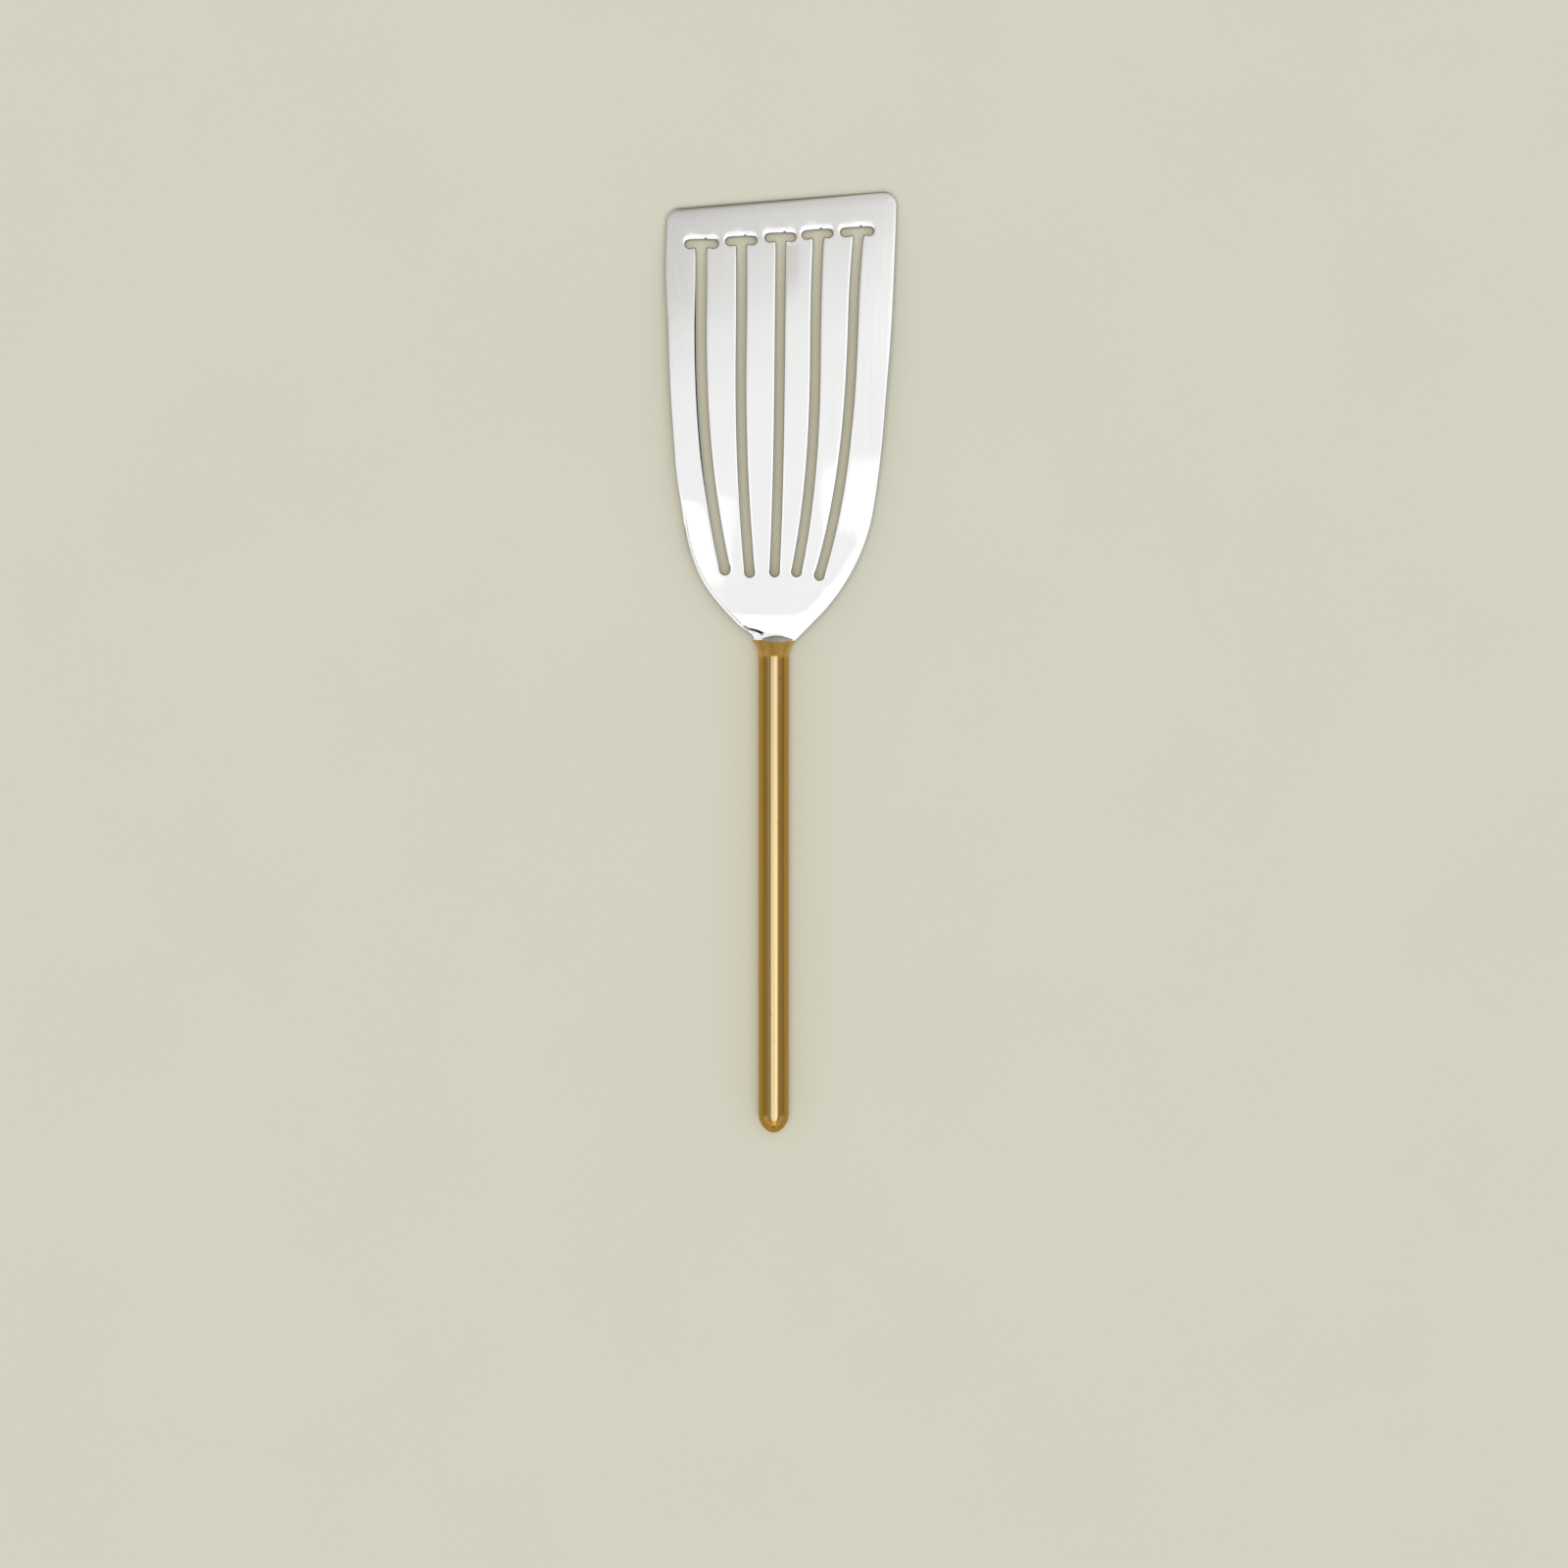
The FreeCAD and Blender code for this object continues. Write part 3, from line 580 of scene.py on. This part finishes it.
def to_boundary(tree, points):
    """Distance of each point to the nearest boundary, and the direction away from it."""
    feet = np.array([tree.find_nearest((x, y, 0))[0][:2] for x, y in points])
    away = points - feet
    distance = np.linalg.norm(away, axis=1)
    return distance, away / np.maximum(distance, 1e-6)[:, None]


def inward_normals(loop):
    """Directions into the metal, which is on the left of every loop."""
    run = np.roll(loop, -1, axis=0) - np.roll(loop, 1, axis=0)
    run /= np.linalg.norm(run, axis=1)[:, None]
    return np.c_[-run[:, 1], run[:, 0]]


def inside(loop, points):
    """Whether each point lies within a closed loop."""
    result = np.zeros(len(points), bool)
    for (x0, y0), (x1, y1) in zip(loop, np.roll(loop, -1, axis=0)):
        if y0 != y1:
            crosses = (y0 > points[:, 1]) != (y1 > points[:, 1])
            result ^= crosses & (points[:, 0] < x0 + (points[:, 1] - y0) * (x1 - x0) / (y1 - y0))
    return result


def in_metal(outline, holes, points):
    """Whether each point lies within the outline and in none of the slots."""
    result = inside(outline, points)
    for hole in holes:
        result &= ~inside(hole, points)
    return result


# Mark of a hammer's edge near the neck's left corner
CREASE = np.array(((-9.8, 4.9), (-8.8, 4.3), (-7.2, 3.95), (-5.4, 3.45), (-4.2, 2.9)))


def crease_distance(across, ahead):
    best = np.full(np.shape(across), np.inf)
    for start, end in zip(CREASE[:-1], CREASE[1:]):
        run = end - start
        right, up = across - start[0], ahead - start[1]
        share = np.clip((right * run[0] + up * run[1]) / (run @ run), 0, 1)
        best = np.minimum(best, np.hypot(right - share * run[0], up - share * run[1]))
    return best


def along_crease(across):
    """Rises from 0 at the crease's left end to 1 at its right end."""
    return ease(across, CREASE[0, 0], CREASE[-1, 0])


def dish(across, ahead):
    """How far hand forming raised or sank the sheet from the drawing's plane and curve."""
    lift = 0.065 * (hinge(ahead - 1.5, 0.8) - hinge(ahead - 10.0, 0.6)) * (1 - ease(ahead, 60, 100))
    # The shoulders bend down along a stretch, which ends abruptly on the left
    fold = 11.5 + 0.2 * np.clip(40 - ahead, 0, 30)
    fold_end = 41.5 + 4 * ease(across, -23.5, -20)
    left = 0.022 * hinge(-across - fold, 1.2) * ease(ahead, 12, 21)
    left = left * (1 - ease(ahead, fold_end, fold_end + 6))
    right = 0.045 * hinge(across - 13.5, 1.5) * ease(ahead, 24, 44) * (1 - ease(ahead, 50, 78))
    crown = 0.33 * (1 - np.abs(across / 38) ** 3) * ease(ahead, 60, 110)
    # The strip right of the middle slot sags at its left edge, behind the crosswise slot
    sag = 0.045 * hinge(6.0 - across, 1.2) * (across > 0)
    sag = sag * ease(ahead, 110, 125) * (1 - ease(ahead, 130.5, 133))
    # The neck's left corner, knocked down beside the crease
    below = ease(np.interp(across, *CREASE.T) - ahead, 0, 0.3) * (across < CREASE[-1, 0])
    knocked = 0.09 * hinge(-6.7 - across, 0.2) * below
    crease = (0.2 + 0.16 * along_crease(across)) * swell(crease_distance(across, ahead), 0, 0.28)
    return lift - left - right + crown - sag - knocked - crease


def sheet_height(across, ahead, above):
    """Height of the sheet's upper face, or of its lower one, before its edges are rounded."""
    level = AXIS_HEIGHT - THICKNESS / 2
    radius = (CURVE_LENGTH ** 2 + level ** 2) / (2 * level)
    along = np.clip(ahead * math.cos(SLANT) - across * math.sin(SLANT) - CURVE_START, 0, None)
    reach = radius + THICKNESS if above else radius
    return level - radius + np.sqrt(reach ** 2 - along ** 2) + dish(across, ahead)


# Distances of the rows of points beside the outline, the slots and the crease
OUTLINE_ROWS = (0.04, 0.12, 0.22, 0.35, 0.55, 0.8, 0.88, 0.95, 1.02, 1.15, 1.5, 2.1)
SLOT_ROWS = (0.04, 0.12, 0.22, 0.38, 0.6, 0.9, 1.4, 2.1)
CREASE_ROWS = (0.09, 0.18, 0.28, 0.4, 0.6, 0.9)
# The grid between them, and how far its points keep from the edges and the crease
GRID_PITCH = 1.6
GRID_HALF, GRID_FRONT = 41, 156
GRID_OFF_EDGE, GRID_OFF_CREASE = 2.9, 1.3
# Rows beside the edges keep this far from the crease, apart from those close to the edge
ROWS_OFF_CREASE, CLOSE_ROWS = 0.95, 0.6
CREASE_OFF_EDGE = 0.65


def edge_rows(loops, normals, edge_tree):
    """Rows of points beside the edges, without those that come too close to another edge."""
    rows = []
    for index, (loop, normal) in enumerate(zip(loops, normals)):
        for step in SLOT_ROWS if index else OUTLINE_ROWS:
            row = loop + step * normal
            rows.append(row[to_boundary(edge_tree, row)[0] > 0.96 * step])
    return np.vstack(rows)


def grid_points(outline, holes, edge_tree):
    """Staggered rows of points away from the edges and the crease."""
    places = np.arange(-GRID_HALF, GRID_HALF, GRID_PITCH)
    rows = np.arange(-TANG_LENGTH, GRID_FRONT, GRID_PITCH * math.sqrt(3) / 2)
    grid = np.vstack([np.c_[places + GRID_PITCH / 2 * (index % 2), np.full(len(places), row)]
                      for index, row in enumerate(rows)])
    grid = grid[in_metal(outline, holes, grid)]
    grid = grid[to_boundary(edge_tree, grid)[0] > GRID_OFF_EDGE]
    return grid[crease_distance(*grid.T) > GRID_OFF_CREASE]


def crease_points(outline, edge_tree):
    """Close rows of points along the crease."""
    line = np.vstack([straight(start, end, 0.3) for start, end in zip(CREASE[:-1], CREASE[1:])])
    sideways = inward_normals(line)
    sideways[0], sideways[-1] = sideways[1], sideways[-2]
    rows = [line + side * step * sideways for side in (-1, 1) for step in CREASE_ROWS]
    band = np.vstack([line, *rows])
    band = band[inside(outline, band)]
    return band[to_boundary(edge_tree, band)[0] > CREASE_OFF_EDGE]


class BladePlan:
    """The blade's points and triangles in plan, and how far each point is from the edges."""

    def __init__(self):
        border = blade_border()
        outline = blade_outline(border)
        holes = [slot_hole(slot, cap) for slot, cap in zip(SLOTS, CAPS)]
        loops = [outline, *holes]
        normals = [inward_normals(loop) for loop in loops]
        edge_tree = boundary_tree(loops, True)
        free = np.vstack([edge_rows(loops, normals, edge_tree), grid_points(outline, holes, edge_tree)])
        off_crease = crease_distance(*free.T) > ROWS_OFF_CREASE
        free = free[off_crease | (to_boundary(edge_tree, free)[0] < CLOSE_ROWS)]
        plan = self.triangulate(outline, holes, np.vstack([free, crease_points(outline, edge_tree)]))
        self.count = len(plan)
        self.across, self.ahead = plan.T
        self.distance, self.away = to_boundary(edge_tree, plan)
        self.distance[self.edge] = 0
        self.away[self.edge] = np.vstack(normals)
        self.hole_distance, self.hole_away = to_boundary(boundary_tree(holes, True), plan)
        self.hole_away[self.edge[len(outline):]] = np.vstack(normals[1:])
        self.border_distance, self.border_away = to_boundary(boundary_tree([border], False), plan)
        self.share_work()

    def triangulate(self, outline, holes, free):
        """Triangles between the edges and the free points. Gives the points that they use."""
        loops = [outline, *holes]
        self.links = []
        first = 0
        for loop in loops:
            count = len(loop)
            self.links += [(first + index, first + (index + 1) % count) for index in range(count)]
            first += count
        points = [tuple(point) for point in np.vstack([*loops, free])]
        plan, _, triangles, sources, _, _ = delaunay_2d_cdt(points, self.links, [], 1, 1e-4)
        plan, triangles = np.array(plan), np.array(triangles)
        triangles = triangles[in_metal(outline, holes, plan[triangles].mean(axis=1))]
        used = np.unique(triangles)
        renumber = np.full(len(plan), -1)
        renumber[used] = np.arange(len(used))
        self.triangles = renumber[triangles]
        place_of = {source: index for index, here in enumerate(sources) for source in here}
        self.edge = renumber[[place_of[index] for index in range(first)]]
        return plan[used]

    def share_work(self):
        """Shares of the hand work that each point got."""
        across, ahead = self.across, self.ahead
        # Front edges of the crosswise slots
        self.punched = np.clip(self.hole_away[:, 1], 0, 1) ** 2
        self.thinned = np.clip(-self.border_away[:, 1], 0, 1) ** 2 * (ahead > 120)
        # Lower left border
        self.bevelled = (across < 0) * ease(ahead, 1.5, 4) * (1 - ease(ahead, 36, 44))
        # A stretch of the outermost left slot's left edge
        left_edge = (self.hole_away[:, 0] < -0.7) * (across < -18)
        self.dragged = np.clip(1.9 * swell(ahead, 83, 28), 0, 1) * left_edge


BEVEL_WIDTH = 0.95
DRAG_WIDTH, DRAG_DEPTH = 0.5, 0.2
EDGE_ROUND = 0.22


def round_over(distance, width, depth):
    """Drop of an edge rounded over that width and depth, and its steepness."""
    share = np.clip(1 - distance / width, 0, 0.999)
    root = np.sqrt(1 - share ** 2)
    return depth * (1 - root), -depth / width * share / root


def roll_down(distance, width, depth):
    """Drop of an edge rolled down over that width and depth, and its steepness."""
    share = np.clip(1 - distance / width, 0, 1)
    return depth * share ** 2, -2 * depth / width * share


def sunk_border(plan):
    """Drop and slope of the border where buffing sank it, along the shoulders and the neck."""
    def sunk(distance, ahead):
        width = np.where(plan.across < 0, 0.2, 1.2 + 3.3 * (1 - ease(ahead, 14, 38)))
        return 0.09 * hinge(width - distance, 0.6) * (1 - ease(ahead, 38, 58)) * ease(ahead, -1, 2)

    inwards = steepness(lambda distance: sunk(distance, plan.ahead), plan.border_distance)
    slope = inwards[:, None] * plan.border_away
    slope[:, 1] += steepness(lambda ahead: sunk(plan.border_distance, ahead), plan.ahead)
    return sunk(plan.border_distance, plan.ahead), slope


def worked_edges(plan):
    """Drop and slope of the upper face where its edges are bevelled, rolled down and thinned."""
    def bevel(distance):
        """Narrow and polished, with the line where it ends."""
        return 0.12 * hinge(0.9 - distance, 0.05) + 0.05 * swell(distance, BEVEL_WIDTH, 0.1)

    bevel_drop = plan.bevelled * bevel(plan.border_distance)
    bevel_steep = plan.bevelled * steepness(bevel, plan.border_distance, 0.01)
    # Edges of the slots rolled down by the punch, most at the front of the crosswise slots
    punched = plan.punched * (1 + 0.15 * np.sin(0.8 * plan.across))
    slot_drop, slot_steep = roll_down(plan.hole_distance, 0.9 + 1.35 * punched, 0.05 + 0.45 * punched)
    drag_drop, drag_steep = roll_down(plan.hole_distance, DRAG_WIDTH, DRAG_DEPTH * plan.dragged)
    # The sides of the front half are rolled down a little at the border, and the front is thinned
    depth = np.where(plan.across < 0, 0.05 * ease(plan.ahead, 90, 105), 0.025 * ease(plan.ahead, 60, 85))
    depth = depth * (1 - plan.thinned) + 0.15 * plan.thinned
    side_drop, side_steep = roll_down(plan.border_distance, 1.5 + 3 * plan.thinned, depth)
    slope = (bevel_steep + side_steep)[:, None] * plan.border_away
    slope += (slot_steep + drag_steep)[:, None] * plan.hole_away
    return bevel_drop + side_drop + slot_drop + drag_drop, slope


def blade_face(plan, above):
    """Places and normals of the points on the upper or the lower face."""
    across, ahead = plan.across, plan.ahead
    sign = 1 if above else -1
    width = depth = EDGE_ROUND
    if above:
        at_hole = plan.hole_distance < plan.distance + 0.001
        front_half = ease(ahead, 45, 75)
        border_width = 0.2 + 0.5 * front_half + plan.thinned * (0.9 - 0.6 * ease(across, 0, 32))
        width = np.where(at_hole, EDGE_ROUND, border_width)
        depth = np.where(at_hole, EDGE_ROUND, 0.25 + 0.25 * front_half + 0.1 * plan.thinned)
    round_drop, round_steep = round_over(plan.distance, width, depth)
    border_drop, border_slope = sunk_border(plan)
    height = sheet_height(across, ahead, above) - border_drop - sign * round_drop
    slope = np.c_[steepness(lambda value: sheet_height(value, ahead, above), across),
                  steepness(lambda value: sheet_height(across, value, above), ahead)]
    slope -= border_slope + sign * round_steep[:, None] * plan.away
    if above:
        work_drop, work_slope = worked_edges(plan)
        height -= work_drop
        slope -= work_slope
    normal = np.c_[-slope, np.ones(plan.count)] * sign
    normal[plan.edge] = np.c_[-plan.away[plan.edge], np.zeros(len(plan.edge))]
    normal /= np.linalg.norm(normal, axis=1)[:, None]
    turned = normal[:, :1] * ACROSS + normal[:, 1:2] * AHEAD
    return np.c_[on_ground(across, ahead), height], np.c_[turned, normal[:, 2]]


def blade_darkening(plan):
    """Painted shade along the crease, the dragged edge and the bevel's end line, and darker brown along the
    edges of the slots, most at their ends.
    """
    across, ahead = plan.across, plan.ahead
    # Painted shade: dark lines along the crease, the dragged slot edge and the bevel's end line
    spread = 0.13 + 0.21 * along_crease(across)
    crease = np.clip(2.2 * swell(crease_distance(across, ahead), 0, spread) - 0.15, 0, 1)
    drag = plan.dragged * np.clip(2.6 - plan.hole_distance / 0.22, 0, 1)
    line = (0.1 + 0.5 * (1 - ease(ahead, 4, 14))) * plan.bevelled
    line = line * swell(plan.border_distance, BEVEL_WIDTH, 0.12)
    # Darker brown along the slot edges, most at the crosswise slots and the rear ends
    at_cap = ease(ahead - across * math.tan(SLANT), 129.5, 131) * (1 - 0.3 * plan.punched)
    at_end = np.maximum(at_cap, 1 - ease(ahead, SLOT_END + 1.5, SLOT_END + 4))
    brown_slot_edges = np.clip(1.4 * swell(plan.hole_distance, 0, 0.2), 0, 1) * (0.3 + 0.65 * at_end)
    under = np.zeros(plan.count)
    # The painted shade lines are the darkest of the three
    painted_shade_lines = np.maximum(np.maximum(crease, drag), line)
    return {"painted_shade_lines": np.r_[painted_shade_lines, under], "brown_slot_edges": np.r_[brown_slot_edges, under]}


def make_blade(material):
    plan = BladePlan()
    upper, upper_normals = blade_face(plan, True)
    lower, lower_normals = blade_face(plan, False)
    faces = plan.triangles.tolist() + (plan.triangles[:, ::-1] + plan.count).tolist()
    for start, end in plan.links:
        a, b = int(plan.edge[start]), int(plan.edge[end])
        faces.append((b, a, a + plan.count, b + plan.count))
    normals = np.vstack([upper_normals, lower_normals])
    points = np.vstack([upper, lower])
    return make_piece("slotted_blade", points, faces, material, normals, blade_darkening(plan))


# Handle

ROD_RADIUS = 5.0
FLARE_LENGTH = 4.8
# Half the flare's height at the joint, half its width in its middle, and half its rim's width
FLARE_HALF = 3.0
FLARE_MIDDLE = 5.3
FLARE_RIM = NECK_HALF + 0.3
# The flare's rim stands this far over the neck
LIP = 0.45
DOME_LENGTH = 6.2
NOSE_RADIUS = 3.8
BRAZE_GAP = 0.15
ROUND = 96


def handle_stations():
    """Distance behind the joint, half width and half height of each ring."""
    stations = [(-LIP, FLARE_RIM, FLARE_HALF - 0.15)]
    # The flare's sides are parabolas through its three half widths
    for share in np.linspace(0, 1, 15):
        near = 2 * (share - 0.5) * (share - 1)
        mid = 4 * share * (1 - share)
        far = 2 * share * (share - 0.5)
        stations.append((share * FLARE_LENGTH, NECK_HALF * near + FLARE_MIDDLE * mid + ROD_RADIUS * far,
                         FLARE_HALF + (ROD_RADIUS - FLARE_HALF) * share))
    dome_start = HANDLE_LENGTH - DOME_LENGTH
    # The first rings behind the flare stand close, so that its end stays a crisp line
    close = FLARE_LENGTH + np.array((0.12, 0.4, 1.2))
    for behind in np.r_[close, np.linspace(FLARE_LENGTH + 3, dome_start, 60)]:
        stations.append((behind, ROD_RADIUS, ROD_RADIUS))
    rise = DOME_LENGTH - NOSE_RADIUS
    bow = (ROD_RADIUS ** 2 + rise ** 2 - NOSE_RADIUS ** 2) / (2 * (ROD_RADIUS - NOSE_RADIUS))
    meet = math.atan2(rise, bow - ROD_RADIUS)
    for angle in np.linspace(0, meet, 9)[1:]:
        reach = ROD_RADIUS - bow + bow * math.cos(angle)
        stations.append((dome_start + bow * math.sin(angle), reach, reach))
    for angle in np.linspace(meet, math.pi / 2, 12)[1:-1]:
        reach = NOSE_RADIUS * math.cos(angle)
        stations.append((dome_start + rise + NOSE_RADIUS * math.sin(angle), reach, reach))
    return stations


def cut_mortise(handle, tip):
    """Closes the handle's end face round the mortise that takes the tang. Tip is the dome's last point."""
    half_wide, half_high = TANG_HALF + BRAZE_GAP, THICKNESS / 2 + BRAZE_GAP
    bm = bmesh.new()
    bm.from_mesh(handle.data)
    bm.verts.ensure_lookup_table()
    rim = [edge for edge in bm.edges if edge.is_boundary]
    corners = []
    for back in (-LIP, TANG_LENGTH + BRAZE_GAP):
        for side, up in ((-1, -1), (1, -1), (1, 1), (-1, 1)):
            ground = np.array((JOINT_X, JOINT_Y)) + side * half_wide * ACROSS - back * AHEAD
            corners.append(bm.verts.new((*(ground * MM), (AXIS_HEIGHT + up * half_high) * MM)))
    mouth = [bm.edges.new((corners[index], corners[(index + 1) % 4])) for index in range(4)]
    bmesh.ops.triangle_fill(bm, use_beauty=True, edges=rim + mouth)
    for index in range(4):
        after = (index + 1) % 4
        bm.faces.new((corners[index], corners[after], corners[after + 4], corners[index + 4]))
    bm.faces.new(corners[4:])
    bmesh.ops.recalc_face_normals(bm, faces=bm.faces)
    for face in bm.faces:
        of_ring = len(face.verts) == 4 and all(vert not in corners for vert in face.verts)
        face.smooth = of_ring or tip in [vert.index for vert in face.verts]
    for edge in rim:
        edge.smooth = False
    bm.to_mesh(handle.data)
    bm.free()


def make_handle(material):
    stations = handle_stations()
    angles = np.arange(ROUND) * 2 * math.pi / ROUND
    points, faces = [], []
    for behind, wide, high in stations:
        x = wide * np.cos(angles)
        # The flare's face is square to the blade, the rod's rings to the handle
        turned = min(1, max(0, 1 - behind / FLARE_LENGTH))
        y = JOINT_Y - behind - turned * x * math.tan(YAW)
        points += np.c_[JOINT_X + x, y, AXIS_HEIGHT + high * np.sin(angles)].tolist()
    for ring in range(len(stations) - 1):
        for index in range(ROUND):
            a, b = ring * ROUND + index, ring * ROUND + (index + 1) % ROUND
            faces.append((a, b, b + ROUND, a + ROUND))
    tip = len(points)
    points.append((JOINT_X, JOINT_Y - HANDLE_LENGTH, AXIS_HEIGHT))
    last = (len(stations) - 1) * ROUND
    faces += [(last + index, last + (index + 1) % ROUND, tip) for index in range(ROUND)]
    handle = make_piece("brass_handle", points, faces, material)
    cut_mortise(handle, tip)
    return handle


# Bead of filler: its middle and half its length across, how far ahead of the joint its ends are, and
# how far its middle bulges ahead of them and back from them
LENS_MIDDLE, LENS_HALF = 1.1, 5.3
LENS_ENDS, LENS_AHEAD, LENS_BACK = 0.85, 1.3, 1.25


def make_braze_lens(material):
    """Bead of filler in the corner above the blade, run a little way over the handle's edge."""
    floor_height = AXIS_HEIGHT + 0.5
    places = np.linspace(-0.985, 0.985, 41)
    shares = np.r_[0, 0.03, 0.07, 0.12, 0.18, np.linspace(0.26, 1, 10)]
    place, share = (grid.ravel() for grid in np.meshgrid(places, shares))
    across = LENS_MIDDLE + LENS_HALF * place
    bow = 1 - place ** 2
    front = LENS_ENDS + LENS_AHEAD * bow
    ahead = front - (LENS_AHEAD + LENS_BACK) * bow * share
    low = sheet_height(across, front, True) - 0.2
    # Over the brass it lies on the flare, and before it slopes on, down to a steep rim
    behind = np.clip(-ahead, -LIP, None)
    flare_high = FLARE_HALF + (ROD_RADIUS - FLARE_HALF) * behind / FLARE_LENGTH
    flare_wide = FLARE_RIM - 0.7 * (behind + LIP)
    high = AXIS_HEIGHT + 0.06 + flare_high * np.sqrt(1 - (across / flare_wide) ** 2)
    high -= 0.42 * np.clip(ahead - LIP, 0, None)
    top = low + (high - low) * (1 - np.exp(-(front - ahead) / 0.13))
    ground = on_ground(across, ahead)
    points = np.vstack([np.c_[ground, top], np.c_[ground, np.minimum(top - 0.02, floor_height)]])
    wide, count = len(places), len(place)
    faces = []
    for row in range(len(shares) - 1):
        for column in range(wide - 1):
            a = row * wide + column
            b = a + count
            faces += [(a, a + wide, a + wide + 1, a + 1), (b, b + 1, b + wide + 1, b + wide)]
    border = [*range(wide), *range(2 * wide - 1, count, wide), *range(count - 2, count - wide - 1, -1),
              *range(count - 2 * wide, 0, -wide)]
    for a, b in zip(border, border[1:] + border[:1]):
        faces.append((a, b, b + count, a + count))
    lens = make_piece("braze_lens", points, faces, material)
    lens.data.set_sharp_from_angle(angle=math.radians(40))
    return lens


# Build

bpy.context.scene.view_settings.view_transform = "Standard"
set_camera()
light_studio()
hang_lamp()
lay_floor()

steel, brass, braze = polished_steel(), lacquered_brass(), silver_braze()

blade = make_blade(steel)
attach(blade, "root")
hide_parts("blade")

handle = make_handle(brass)
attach(handle, "root")
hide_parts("handle")

lens = make_braze_lens(braze)
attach(lens, "root")
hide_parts("braze_fillet_top")

for name in ("braze_film", "braze_fillet_under"):
    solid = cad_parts[name]
    solid.data.materials.clear()
    solid.data.materials.append(braze)
